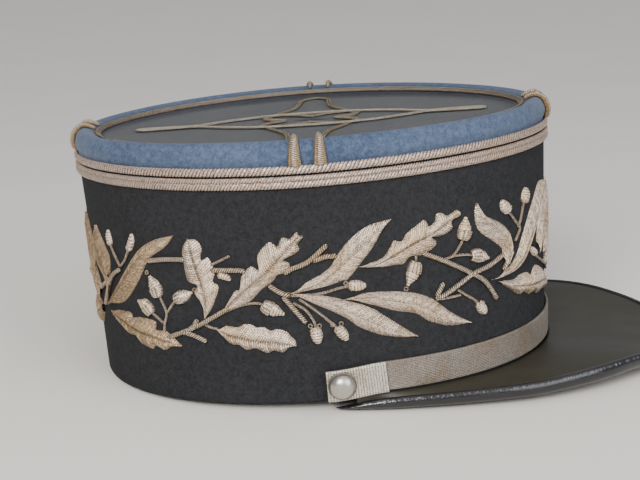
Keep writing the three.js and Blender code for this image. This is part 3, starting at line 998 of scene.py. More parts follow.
@dataclass(frozen=True)
class DiscRing:
    """Fine cords round the disc: a silver one, and a tarnished pair outside it."""

    form: CapForm
    outset: float = -9.6
    height: float = 107.2
    dip: float = 0.8
    slope: float = math.atan2(2.0, 2.5)
    gap: float = 0.3

    def _line(self, draft: MeshDraft, rope: Rope, across: float) -> None:
        """Adds one cord at a distance up the slope."""
        angles = self.form.even_angles(720)
        cosine, sine = math.cos(self.slope), math.sin(self.slope)
        lift = self.gap + rope.radius * 0.8
        path = self.form.roof(
            angles, self.outset + across * cosine - lift * sine, self.height + across * sine + lift * cosine, self.dip
        )
        outer = self.form.roof(
            angles, self.outset + across * cosine - (lift + 1) * sine, self.height + across * sine + (lift + 1) * cosine, self.dip
        )
        rope.lay_along(draft, path, unit(outer - path), closed=True)

    def build(self, space: CapSpace, silver: bpy.types.Material, brown: bpy.types.Material) -> None:
        """Builds and dresses the ring.

        Args:
            space: The cap's pose.
            silver: Finish of the inner cord.
            brown: Finish of the tarnished pair.
        """
        bright, dull = MeshDraft(), MeshDraft()
        self._line(bright, Rope(0.55, 3, 2.6), -0.5)
        self._line(dull, Rope(0.45, 2, 2.2), 0.45)
        self._line(dull, Rope(0.45, 2, 2.2), 1.3)
        Piece("disc_ring_silver", "silver_braid", ("disc_ring",)).join(bright, space, silver)
        Piece("disc_ring_tarnished", "tarnished_cord").join(dull, space, brown)


@dataclass(frozen=True)
class CrownKnot:
    """The four-looped knot of fine doubled cord laid on the disc."""

    form: CapForm
    disc_top: float = 104.5
    long_loop: Line = ((80, 0), (76, 1.8), (64, 1.6), (53, 1.2), (40, 8.6), (28, 13.8), (15, 17), (0, 17.8))
    side_loop: Line = ((0, 70), (6.5, 63), (7.4, 50), (9.5, 36), (17, 20), (21, 8), (16, 0))
    heart_mean: float = 15.5
    heart_swing: float = 6.5
    heart_stretch: float = 1.3
    strand: Rope = Rope(0.52, 3, 2.4)
    doubled: float = 0.6

    def _mirrored(self, quarter: Array, flip: Array) -> Array:
        """A closed loop from its quarter: mirrored by flip, then by the other way about."""
        half = np.vstack([quarter, (quarter * flip)[::-1][1:]])
        other = (half * -flip)[::-1]
        return np.vstack([half, other[1:-1]])

    def _cord(self, draft: MeshDraft, loop: Array, lift: float) -> None:
        """Adds a loop as two cords side by side."""
        flat = evenly(smooth_line(loop, 12, closed=True), 400, closed=True)
        run = unit(np.roll(flat, -1, axis=0) - np.roll(flat, 1, axis=0))
        aside = np.stack([run[:, 1], -run[:, 0]], axis=1)
        height = self.disc_top + 0.3 + self.strand.radius + lift
        up = np.tile([0.0, 0.0, 1.0], (len(flat), 1))
        for hand in (-1, 1):
            spot = flat + aside * hand * self.doubled
            path = np.stack([spot[:, 1], -spot[:, 0], np.full(len(spot), height)], axis=1)
            self.strand.lay_along(draft, path, up, closed=True)

    def build(self, space: CapSpace, bright: bpy.types.Material, dull: bpy.types.Material) -> None:
        """Builds and dresses the knot.

        Args:
            space: The cap's pose.
            bright: Finish of the long loops.
            dull: Finish of the side loops and the heart.
        """
        long_draft, side_draft = MeshDraft(), MeshDraft()
        self._cord(long_draft, self._mirrored(np.array(self.long_loop, float), np.array([-1.0, 1.0])), 0.35)
        self._cord(side_draft, self._mirrored(np.array(self.side_loop, float), np.array([1.0, -1.0])), 0.0)
        turn = shares(33)[:-1] * 2 * math.pi
        radius = self.heart_mean - self.heart_swing * np.cos(4 * turn)
        heart = np.stack([radius * np.cos(turn) * self.heart_stretch, radius * np.sin(turn)], axis=1)
        self._cord(side_draft, heart, 0.15)
        Piece("crown_knot_long_loops", "silver_braid", ("crown_knot",)).join(long_draft, space, bright)
        Piece("crown_knot_side_loops", "tarnished_cord").join(side_draft, space, dull)


# ---------------------------------------------------------------- embroidery


class LeafKind(Enum):
    """The two kinds of embroidered leaf."""

    LAUREL = "laurel"
    OAK = "oak"


@dataclass(frozen=True)
class StitchedLeaf:
    """An embroidered leaf, laid out by walked distance and height on the wall, from its base to its tip."""

    kind: LeafKind
    spine: Line
    upper: Line
    lower: Line

    def sew(self, draft: MeshDraft, cloth: "Needlework") -> None:
        """Adds the leaf as two padded halves of slanted satin stitches.

        Args:
            draft: Where the grid goes.
            cloth: The wall it is sewn to.
        """
        oak = self.kind is LeafKind.OAK
        pitch = 0.98 if oak else 0.92
        slant = 0.1 if oak else 0.16
        half = 7 if oak else 6
        spine = smooth_line(np.array(self.spine, float), 10)
        length = running_length(spine)[-1]
        count = int(length / pitch * 4) + 1
        share = shares(count)
        edges = {}
        for hand, side in ((1, self.upper), (-1, self.lower)):
            outline = np.array((self.spine[0], *side, self.spine[-1]), float)
            edges[hand] = evenly(smooth_line(outline, 10), 400)
        middle = evenly(spine, 400)
        grid = shares(400)
        across = np.concatenate([-shares(half + 1)[::-1], shares(half + 1)[1:]])
        slid = np.clip(share[:, None] + slant * np.abs(across)[None, :] * (1 - share[:, None]), 0, 1)
        spots = np.zeros((count, len(across), 2))
        for column, f in enumerate(across):
            edge = edges[1 if f >= 0 else -1]
            for k in range(2):
                centre = np.interp(slid[:, column], grid, middle[:, k])
                side = np.interp(slid[:, column], grid, edge[:, k])
                spots[:, column, k] = centre + (side - centre) * abs(f)
        size = np.abs(across)[None, :]
        groove = 0.1 if oak else 0.2
        padding = np.sin(math.pi * (groove + (1 - groove) * size**0.85))
        width = np.linalg.norm(spots[:, -1] - spots[:, 0], axis=1)[:, None]
        height = (1.75 if oak else 1.6) * np.clip(width / 7.0, 0.25, 1.0) ** 0.6
        ridge = np.abs(np.sin(math.pi * np.arange(count) / 4))[:, None]
        stitch = np.random.default_rng(count).uniform(0.6, 1.15, (count // 4 + 2, 2))
        tone = np.where(across[None, :] < 0, stitch[np.arange(count) // 4, 0][:, None], stitch[np.arange(count) // 4, 1][:, None])
        lift = height * padding + 0.42 * ridge * tone * np.clip(1.2 - size, 0.45, 1) + 0.1 - 0.5 * (size > 0.99)
        # Oak leaves: upper half lighter and lower half darker, as painted light and shade.
        if oak:
            tone = tone * np.where(across[None, :] < 0, 0.88, 1.25)
        # crest sets each stitch's lightness: painted shade between the stitches, where the padding falls away and in
        # the midrib groove, with random tone per stitch and lighter stitch tops near the rim.
        crest = np.clip((0.18 + 0.82 * ridge) * tone * (0.55 + 0.45 * padding) + 0.25 * ridge * (size > 0.75), 0, 1)
        crest = crest * (0.3 if oak else 0.75) ** (size < 0.08)
        # Painted shade: the leaves grow darker towards the rear, and their thread is pushed towards its tarnish colour.
        age = np.clip((-50 - spots[..., 0]) / 60, 0, 0.6)
        marks = {"run": share[:, None], "crest": crest * (1 - 0.75 * age), "thread": size * width / 1.5, "age": age}
        draft.add_grid(cloth.on_wall(spots, lift), marks)


@dataclass(frozen=True)
class StitchedStem:
    """A wound stem through points on the wall."""

    radius: float
    points: Line

    def sew(self, draft: MeshDraft, cloth: "Needlework") -> None:
        """Adds the stem as a wound cord."""
        spots = smooth_line(np.array(self.points, float), 8)
        lift = self.radius * 0.8
        path = cloth.on_wall(spots, np.full(len(spots), lift))
        outer = cloth.on_wall(spots, np.full(len(spots), lift + 1.0))
        Rope(self.radius, 3, 3.0 if self.radius > 0.8 else 2.1).lay_along(draft, path, unit(outer - path))


@dataclass(frozen=True)
class Fruit:
    """An acorn, berry or bud by its base, middle and tip. cup is the share of it covered by a cup."""

    line: Line
    half_width: float
    cup: float
    pointed: float = 0.0

    def sew(self, draft: MeshDraft, cloth: "Needlework") -> None:
        """Adds the fruit as a padded dome of lengthwise stitches, with a cross-hatched cup."""
        spine = evenly(smooth_line(np.array(self.line, float), 10), 40)
        t = shares(40)
        run = unit(np.gradient(spine, axis=0))
        aside = np.stack([-run[:, 1], run[:, 0]], axis=1)
        body = np.clip(np.sin(math.pi * (0.015 + 0.985 * t) ** 0.85), 0, 1) ** (0.28 if self.cup > 0.3 else 0.5)
        body = body * (1 - self.pointed * np.clip((t - 0.6) / 0.3, 0, 1))
        in_cup = (t < self.cup).astype(float)
        half = self.half_width * np.maximum(body * (0.9 + 0.2 * in_cup), 0.04)
        across = np.linspace(-1, 1, 17)
        spots = spine[:, None, :] + aside[:, None, :] * (half[:, None] * across[None, :])[..., None]
        dome = np.sqrt(np.clip(1 - across**2, 0, 1))[None, :] * half[:, None] * 0.85
        stripes = np.abs(np.sin(t * (9 if self.cup > 0.3 else 6) * math.pi))[:, None] * np.ones((1, 17))
        hatch = np.abs(np.sin(across * 2 * math.pi)[None, :] * np.sin(t * 14 * math.pi)[:, None])
        texture = np.where(in_cup[:, None] > 0, hatch, stripes)
        lift = dome + 0.3 * texture + 0.15 * in_cup[:, None] - 0.3 * (np.abs(across) > 0.99)[None, :]
        # crest is painted shade: darker between the stripes and in the cup's cross-hatching.
        crest = np.clip(0.12 + 0.95 * texture, 0, 1)
        marks = {"run": t[:, None], "crest": crest, "thread": (t * 12)[:, None] + across[None, :], "age": 0.0}
        draft.add_grid(cloth.on_wall(spots, lift + 0.1), marks)


@dataclass(frozen=True)
class ThreadRing:
    """A tiny ring of thread beside a fruit's neck or tip."""

    spot: tuple[float, float]
    radius: float = 0.75
    cord: Rope = Rope(0.36, 3, 1.5)

    def sew(self, draft: MeshDraft, cloth: "Needlework") -> None:
        """Adds the ring as a closed wound cord."""
        turn = shares(17)[:-1] * 2 * math.pi
        spots = np.array(self.spot) + self.radius * np.stack([np.cos(turn), np.sin(turn)], axis=1)
        lift = np.full(len(turn), self.cord.radius + 0.15)
        path = cloth.on_wall(spots, lift)
        self.cord.lay_along(draft, path, unit(cloth.on_wall(spots, lift + 1.0) - path), closed=True)


@dataclass(frozen=True)
class Needlework:
    """The wall as the needle sees it. hand is -1 on the wearer's right and 1 on the left."""

    form: CapForm
    hand: int

    def on_wall(self, spots: Array, lift: Array) -> Array:
        """Points over the cloth.

        Args:
            spots: Walked distance and height, on the last axis.
            lift: Distance off the cloth.

        Returns:
            The points, in level millimetres.
        """
        angle = self.form.walk(spots[..., 0])
        return self.form.wall(-self.hand * angle, spots[..., 1], lift)


LAUREL_LEAVES = (
    StitchedLeaf(LeafKind.LAUREL, ((-106, 38), (-101, 47.5), (-105, 52.5), (-111, 61.5), (-111.5, 71)),
                 ((-101, 56.5), (-104, 62.5)), ((-107, 47), (-117.5, 53), (-121, 59.5))),
    StitchedLeaf(LeafKind.LAUREL, ((-118, 50), (-122, 57), (-127, 65), (-133, 73)),
                 ((-119, 60), (-125, 68.5)), ((-126, 56), (-133, 65))),
    StitchedLeaf(LeafKind.LAUREL, ((-107, 35), (-94.5, 45), (-85, 54), (-76, 62.5), (-67.5, 68), (-58.5, 72.5)),
                 ((-98.5, 42.5), (-88, 54.5), (-78.5, 64.5), (-68.5, 70)),
                 ((-91.5, 40), (-81, 49.5), (-73, 60.5), (-63.5, 67))),
    StitchedLeaf(LeafKind.LAUREL, ((-10, 48), (-1.5, 49.5), (7, 53.5), (15, 60), (22, 65), (29, 70), (36, 75)),
                 ((-3.5, 51.5), (7.5, 57), (12, 62.5), (18.5, 69), (26.5, 73.5)),
                 ((4.5, 49.5), (13, 51.5), (15.5, 52), (22.5, 59), (28, 65), (32.5, 71.5))),
    StitchedLeaf(LeafKind.LAUREL, ((-10.5, 49), (7, 43), (14.5, 38), (22.5, 33.5), (30, 28.5), (41.5, 24)),
                 ((5, 46), (17, 42), (24, 38.5), (29, 34.5), (35.5, 29)),
                 ((10.5, 37), (17, 31.5), (25, 27), (34, 24.5))),
    StitchedLeaf(LeafKind.LAUREL, ((11, 44), (21.5, 44), (32, 41.5), (42.5, 38), (53, 31.5), (67.5, 25)),
                 ((15.5, 45), (24.5, 45.5), (34.5, 44.5), (43, 42.5), (50.5, 38.5), (58, 31.5)),
                 ((17, 42.5), (25, 39.5), (33.5, 36), (42, 33.5), (48, 29), (57.5, 25.5))),
    StitchedLeaf(LeafKind.LAUREL, ((88.5, 44), (91.5, 48), (92, 53), (88.5, 59), (82, 64.5), (77, 69.5), (75.5, 75)),
                 ((94, 48.5), (95, 53), (94, 58.5), (88.5, 64), (80.5, 68.5), (77.5, 72.5)),
                 ((88, 48), (88.5, 52.5), (83, 57.5), (77, 62), (74.5, 66.5), (74.5, 72))),
    StitchedLeaf(LeafKind.LAUREL, ((79.5, 41), (85, 41), (94.5, 43), (101.5, 46.5), (107.5, 52), (114.5, 59), (121, 66.5), (128, 74.5)),
                 ((91.5, 43.5), (98, 47.5), (102, 53), (107.5, 60.5), (114, 68), (121.5, 74.5)),
                 ((95, 41), (103.5, 44), (111, 51), (116.5, 58.5), (123.5, 66), (132.5, 72))),
    StitchedLeaf(LeafKind.LAUREL, ((118, 43), (121, 50), (126, 58), (132, 65), (138, 72)),
                 ((118, 51), (122, 60), (129, 68.5)), ((125, 49), (131, 57), (137, 65))),
    StitchedLeaf(LeafKind.LAUREL, ((130, 34), (136, 42), (141, 52), (144.5, 62), (146.5, 73)),
                 ((131, 43), (135, 54), (139.5, 65)), ((139, 41), (145, 51), (148, 62))),
    StitchedLeaf(LeafKind.LAUREL, ((-113, 36), (-123, 43), (-132, 52), (-140, 62), (-146.5, 72)),
                 ((-117, 44), (-126, 55), (-135, 65)), ((-124, 38), (-135, 46), (-144.5, 58))),
)

OAK_LEAVES = (
    StitchedLeaf(LeafKind.OAK, ((-45.5, 36.5), (-44.5, 42.5), (-46, 51.5), (-48.5, 60), (-51.5, 71)),
                 ((-42, 43), (-39, 51), (-41.5, 53.5), (-40.5, 57.5), (-43, 63.5), (-46.5, 62.5), (-46, 68), (-48.5, 71)),
                 ((-46.5, 43.5), (-50.5, 48.5), (-48.5, 52), (-53.5, 53.5), (-55, 62.5), (-55, 67), (-52.5, 71))),
    StitchedLeaf(LeafKind.OAK, ((-104, 34), (-93, 31.5), (-82, 28.5), (-70.5, 27), (-58, 24.5)),
                 ((-97, 35), (-88, 35.5), (-86.5, 33.5), (-81, 34.5), (-72, 34), (-72, 30.5), (-70.5, 30), (-65.5, 30)),
                 ((-97, 30), (-90, 25.5), (-84, 25.5), (-81.5, 22.5), (-75, 21), (-72.5, 23), (-67.5, 21.5), (-63.5, 23.5))),
    StitchedLeaf(LeafKind.OAK, ((-37.5, 40.5), (-32, 46), (-25.5, 51.5), (-18.5, 57.5), (-12, 64), (-4, 72)),
                 ((-33.5, 47.5), (-31.5, 50), (-29.5, 50), (-29, 56), (-25, 60), (-21.5, 58.5), (-22, 64.5), (-17, 70),
                  (-13.5, 68), (-11.5, 71.5), (-8, 71), (-5, 73.5)),
                 ((-32.5, 42), (-25.5, 45), (-20.5, 50), (-16, 53), (-13.5, 56), (-9.5, 57), (-8.5, 60.5), (-11, 62),
                  (-7, 64), (-4, 66), (-4.5, 68.5), (-2, 71.5))),
    StitchedLeaf(LeafKind.OAK, ((-40.5, 33.5), (-34, 30.5), (-25.5, 28.5), (-17, 27.5), (-7.5, 25.5)),
                 ((-36.5, 34.5), (-31.5, 34), (-28.5, 35.5), (-25, 35), (-23.5, 34), (-20, 34), (-18, 32.5), (-14.5, 33),
                  (-11, 31.5), (-9.5, 29.5), (-8, 28)),
                 ((-37.5, 29.5), (-34.5, 26.5), (-31, 26), (-28, 24), (-24, 24.5), (-19.5, 22.5), (-16.5, 23.5),
                  (-13, 22.5), (-10.5, 24.5))),
    StitchedLeaf(LeafKind.OAK, ((19.5, 57), (26, 57), (34, 59.5), (43.5, 63.5), (52.5, 66.5), (66.5, 73)),
                 ((30, 59), (34.5, 63.5), (36.5, 66), (39.5, 65), (42, 68), (46.5, 70.5), (50.5, 72.5), (52, 69.5),
                  (55, 71), (56, 74), (58.5, 74), (61, 72.5), (65.5, 74)),
                 ((29.5, 55.5), (35.5, 55.5), (39.5, 55.5), (42.5, 58), (48, 58), (54, 60.5), (54.5, 63), (52.5, 64.5),
                  (58, 64.5), (62.5, 66.5), (62.5, 70), (67, 71.5))),
    StitchedLeaf(LeafKind.OAK, ((83, 40), (90.5, 36), (100.5, 33.5), (113.5, 31), (133, 29)),
                 ((94.5, 37.5), (100, 38.5), (106.5, 38), (110, 36), (114, 39), (120, 37.5), (125, 34.5)),
                 ((90.5, 35), (98.5, 30), (103, 30), (107.5, 27.5), (112, 28), (116.5, 25.5), (122, 26.5), (128.5, 24.5))),
    StitchedLeaf(LeafKind.OAK, ((-114, 33), (-123, 29), (-132, 27), (-140, 27), (-148.5, 30)),
                 ((-120, 34), (-126, 35), (-129, 32), (-134, 34.5), (-138, 32), (-142, 34), (-146, 33)),
                 ((-118, 28), (-124, 23), (-128, 25), (-133, 21), (-137, 24), (-142, 22.5), (-146, 26))),
)

THICK_STEMS: tuple[Line, ...] = (
    ((-91.5, 54.5), (-100, 49), (-110, 35)),
    ((-113.5, 42), (-106, 46)),
    ((-73, 60.5), (-63, 62), (-53.5, 62.5)),
    ((-65, 27.8), (-55, 31.5), (-46.5, 35.5), (-39.5, 39.5), (-35, 42)),
    ((-54, 31.8), (-51, 34), (-49, 37)),
    ((-57, 31), (-51.5, 30), (-45, 27.5)),
    ((-42, 58.5), (-31, 58.5), (-27, 58)),
    ((-11, 56.5), (-7.5, 58.5), (-0.5, 61), (8.5, 67.5)),
    ((-17.5, 52), (-13.5, 49), (-9, 47)),
    ((-12, 47), (-8.5, 42.5), (-3, 35)),
    ((47.5, 59), (56, 54.5), (63.5, 50), (70.5, 45.5), (76.5, 41), (82.5, 32)),
    ((51, 38.5), (56.5, 40), (64.5, 43.5), (71, 46), (79.5, 47.5), (88.5, 50.5)),
    ((51.5, 39.5), (55.5, 45)),
    ((87.5, 43.5), (91, 47), (94.5, 50.5)),
    ((1.5, 61), (7, 62.5), (12, 62.5)),
)

THIN_STEMS: tuple[Line, ...] = (
    ((-91.5, 55.5), (-95, 60), (-97.5, 64)),
    ((-91.5, 55.5), (-87.5, 59), (-84.5, 63.5)),
    ((-66.5, 28.5), (-66, 33.5), (-64.5, 38.5), (-67, 44), (-68.6, 46.5)),
    ((-64.5, 38.5), (-61.5, 42), (-58.5, 45.2)),
    ((-66, 33.5), (-70, 36), (-74, 38)),
    ((-42, 60.5), (-37.5, 62.5), (-33.5, 64.5)),
    ((-9, 47), (-1, 46.8), (5, 47.4), (11, 48.7), (16.5, 49.4)),
    ((-37, 40.5), (-32, 42.6), (-27, 44), (-22.5, 44.3), (-19, 43.2)),
    ((-47, 35.5), (-43.5, 33.8), (-39.5, 33)),
    ((-8, 44), (-3, 40.5), (0, 35), (0.2, 31.5)),
    ((-5.5, 45.5), (0.5, 40.5), (7, 33.8), (9.2, 31)),
    ((44.8, 59), (44.2, 54.5)),
    ((53, 38), (63.5, 38)),
    ((57, 54.5), (61.5, 55.5), (66, 60), (67.2, 62.5)),
    ((60, 55.2), (64.5, 55), (69, 54.3), (71.5, 53.4)),
    ((62, 40.5), (66.5, 37), (70.5, 34), (72.8, 31.5)),
    ((92.5, 69), (95, 66), (98.5, 62), (101, 59), (97, 54)),
    ((105.6, 70.5), (104, 67.5), (102, 63), (99.5, 59.5)),
    ((113.5, 44.8), (118, 41.5), (127, 37)),
    ((127, 37), (134, 34), (142, 30)),
    ((-124, 41), (-131, 42), (-137, 43)),
    ((127, 37), (133, 42), (138, 46)),
)

FRUIT = (
    Fruit(((-68.5, 45), (-69.5, 49), (-73, 54)), 2.9, 0.42, 0.55),
    Fruit(((-73, 37), (-76, 40.5), (-81.5, 42)), 2.8, 0.42, 0.55),
    Fruit(((-59.5, 45), (-57, 46), (-51, 48.5)), 2.8, 0.42, 0.55),
    Fruit(((-20.5, 44), (-17.5, 42), (-11.5, 39)), 2.9, 0.42, 0.55),
    Fruit(((44.5, 56), (43, 52), (39.5, 46)), 2.9, 0.42, 0.55),
    Fruit(((66.5, 61), (68, 64.5), (69.5, 70.5)), 3.0, 0.42, 0.55),
    Fruit(((70, 53.5), (73.5, 53), (80, 50.5)), 2.9, 0.42, 0.55),
    Fruit(((0, 33), (0.5, 29), (0.7, 25.5)), 2.6, 0.18),
    Fruit(((8.5, 32.5), (10.2, 29.5), (12, 26)), 2.6, 0.18),
    Fruit(((15, 49.5), (19, 49), (22.5, 48.8)), 2.6, 0.18),
    Fruit(((72, 33), (73.5, 30.2), (75.5, 27)), 2.6, 0.18),
    Fruit(((93.5, 68), (91.2, 70.5), (89.5, 73.5)), 2.7, 0.18),
    Fruit(((105, 69), (106.5, 72.2), (107.5, 75.5)), 2.7, 0.18),
    Fruit(((-97.5, 64), (-98.5, 67.5), (-98.7, 71)), 1.8, 0.2),
    Fruit(((-84.5, 63.5), (-82, 68), (-81.5, 71.5)), 1.8, 0.2),
    Fruit(((-39, 56.5), (-35.5, 55.5), (-33.5, 54)), 1.6, 0.2),
    Fruit(((115, 44), (113, 45.5), (110, 48)), 1.8, 0.2),
    Fruit(((-137, 43), (-141, 44), (-147, 45.5)), 2.8, 0.42, 0.55),
)


RINGS = (
    ThreadRing((-1.6, 33.6)),
    ThreadRing((1.8, 33.4)),
    ThreadRing((7.0, 33.4)),
    ThreadRing((10.4, 33.6)),
    ThreadRing((14.2, 50.6)),
    ThreadRing((-74.0, 55.2)),
    ThreadRing((-49.8, 49.6)),
    ThreadRing((38.8, 45.0)),
)


@dataclass(frozen=True)
class Garland:
    """Oak and laurel embroidery on one side of the band."""

    form: CapForm
    side: str
    hand: int
    thick: float = 1.05
    thin: float = 0.6

    def build(self, space: CapSpace, material: bpy.types.Material) -> None:
        """Builds and dresses this side's leaves, stems and fruit."""
        cloth = Needlework(self.form, self.hand)
        leaves, stems, fruit = MeshDraft(), MeshDraft(), MeshDraft()
        for leaf in (*LAUREL_LEAVES, *OAK_LEAVES):
            leaf.sew(leaves, cloth)
        for radius, lines in ((self.thick, THICK_STEMS), (self.thin, THIN_STEMS)):
            for line in lines:
                StitchedStem(radius, line).sew(stems, cloth)
        for each in (*FRUIT, *RINGS):
            each.sew(fruit, cloth)
        for name, draft in (("leaves", leaves), ("stems", stems), ("fruit", fruit)):
            Piece(f"garland_{self.side}_{name}", "silver_braid").join(draft, space, material)


# ---------------------------------------------------------------- peak and its binding


@dataclass(frozen=True)
class EdgeRow:
    """A place on the peak's free edge: how far forward, half width, crease height and depth of the binding."""

    forward: float
    half_width: float
    crease: float
    depth: float


@dataclass(frozen=True)
class PeakEdge:
    """The peak's free edge, from the wearer's right to the left."""

    rows: tuple[EdgeRow, ...] = (
        EdgeRow(6, 83.0, -3.0, 1.4),
        EdgeRow(12, 84.0, -2.2, 1.7),
        EdgeRow(20, 84.8, -0.5, 3.5),
        EdgeRow(32, 84.7, 0.3, 4.7),
        EdgeRow(50, 83.7, 0.6, 5.2),
        EdgeRow(70, 81.6, 0.8, 5.6),
        EdgeRow(90, 78.0, 1.0, 5.9),
        EdgeRow(107, 72.0, 1.7, 6.2),
        EdgeRow(122, 64.6, 2.2, 6.4),
        EdgeRow(136, 54.0, 1.7, 6.2),
        EdgeRow(150, 41.0, -0.8, 5.9),
        EdgeRow(160, 28.5, -3.7, 5.7),
        EdgeRow(166.4, 14.5, -5.8, 5.7),
        EdgeRow(168.5, 0.0, -6.5, 5.7),
    )

    def stations(self, first: float, count: int) -> tuple[Array, Array, Array]:
        """Places along the edge.

        Args:
            first: Share of the edge left out at each end.
            count: How many places.

        Returns:
            The crease's points, the outward directions and the binding's depths.
        """
        half = [(-r.half_width, -r.forward, r.crease, r.depth) for r in self.rows]
        other = [(r.half_width, -r.forward, r.crease, r.depth) for r in self.rows[:-1]][::-1]
        fine = smooth_line(np.array(half + other), 24)
        length = running_length(fine[:, :3])
        where = np.linspace(first, 1 - first, count) * length[-1]
        line = np.stack([np.interp(where, length, fine[:, k]) for k in range(4)], axis=1)
        run = np.gradient(line[:, :3], axis=0)
        run[:, 2] = 0
        run = unit(run)
        outward = np.stack([run[:, 1], -run[:, 0], np.zeros(count)], axis=1)
        return line[:, :3], outward, line[:, 3]


@dataclass(frozen=True)
class Peak:
    """The stiff leather plate and the rolled patent binding round it."""

    form: CapForm
    edge: PeakEdge = PeakEdge()
    thickness: float = 2.2
    root_top: float = 1.6
    clearance: float = 0.45
    first: float = 0.022
    strap_clear: float = 6.7
    inner: float = 1.6
    gap: float = 0.3
    drop: float = 0.7
    section: Line = (
        (-1.6, 0.16), (-1.1, 0.05), (-0.6, 0.02), (0.4, 0.04), (1.3, 0.22), (1.7, 0.5),
        (1.3, 0.8), (0.2, 1.0), (-1.1, 0.92), (-1.6, 0.6),
    )

    def build_plate(self, space: CapSpace, strap: "Strap", material: bpy.types.Material) -> None:
        """Builds and dresses the leather plate, kept clear below the strap.

        Args:
            space: The cap's pose.
            strap: The strap above the plate.
            material: The leather.
        """
        count = 240
        spot, outward, _ = self.edge.stations(self.first, count)
        rim = spot - outward * (self.inner + self.gap)
        rim[:, 2] -= self.drop
        reach = float(self.form.angle_at(self.form.base, -spot[0][1]))
        angle = np.linspace(-reach, reach, count)
        root = self.form.wall(angle, np.zeros(count), self.clearance)
        root[:, 2] = np.minimum(self.root_top, strap.middle(-root[:, 1]) - self.strap_clear)
        away = unit(root * [1, 1, 0])
        reach_out = ((rim - root) * away).sum(axis=1)
        rim += away * np.maximum(self.gap - reach_out, 0)[:, None]
        rim[:, 2] = np.minimum(rim[:, 2], root[:, 2])
        across = shares(28)
        top = root[:, None, :] * (1 - across)[None, :, None] + rim[:, None, :] * across[None, :, None]
        reach_out = np.linalg.norm(rim - root, axis=1)[:, None]
        top[..., 2] += np.minimum(reach_out, 60) * 0.012 * np.sin(math.pi * across)[None, :]
        under = top[:, ::-1].copy()
        under[..., 2] -= self.thickness
        points = np.concatenate([top, under], axis=1)
        edge = np.concatenate([np.clip((across - 0.94) * 8, 0, 0.4), np.zeros(28)])[None, :]
        draft = MeshDraft()
        draft.add_grid(points, {"edge": edge}, loop_columns=True)
        Piece("peak_leather", "peak_leather", ("peak",)).join(draft, space, material)

    def build_binding(self, space: CapSpace, material: bpy.types.Material) -> None:
        """Builds and dresses the binding, with fine puckers and a painted glint along its crease."""
        count = 1400
        spot, outward, depth = self.edge.stations(0.0, count)
        section = smooth_line(np.array(self.section), 5, closed=True)
        draw = np.random.default_rng(3)
        pucker = np.convolve(draw.uniform(-1, 1, count), np.ones(3) / 3, "same") * 0.12
        crease = np.exp(-((section[:, 1] - 0.1) ** 2) / 0.02) * (section[:, 0] > -1.2)
        out = section[:, 0][None, :] + pucker[:, None] * crease[None, :]
        points = spot[:, None, :] + outward[:, None, :] * out[..., None]
        points[..., 2] -= section[:, 1][None, :] * depth[:, None]
        ends = np.clip(np.minimum(np.arange(count), np.arange(count)[::-1]) / 22, 0.04, 1)[:, None, None]
        centre = points.mean(axis=1, keepdims=True)
        points = centre + (points - centre) * np.sqrt(ends)
        # A thin line near the crease, lit where the puckers stand out: a painted glint, drawn in the shine colour.
        seam = np.exp(-((section[:, 1] - 0.17) ** 2) / 0.0025) * (section[:, 0] > 0.6)
        wear_and_glint = np.clip(seam[None, :] * (12 * np.abs(pucker)[:, None] - 0.3), 0, 0.75)
        draft = MeshDraft()
        draft.add_grid(points, {"edge": wear_and_glint}, loop_columns=True)
        Piece("peak_binding_roll", "patent_leather", ("peak_binding",)).join(draft, space, material)


# ---------------------------------------------------------------- strap, tabs and buttons


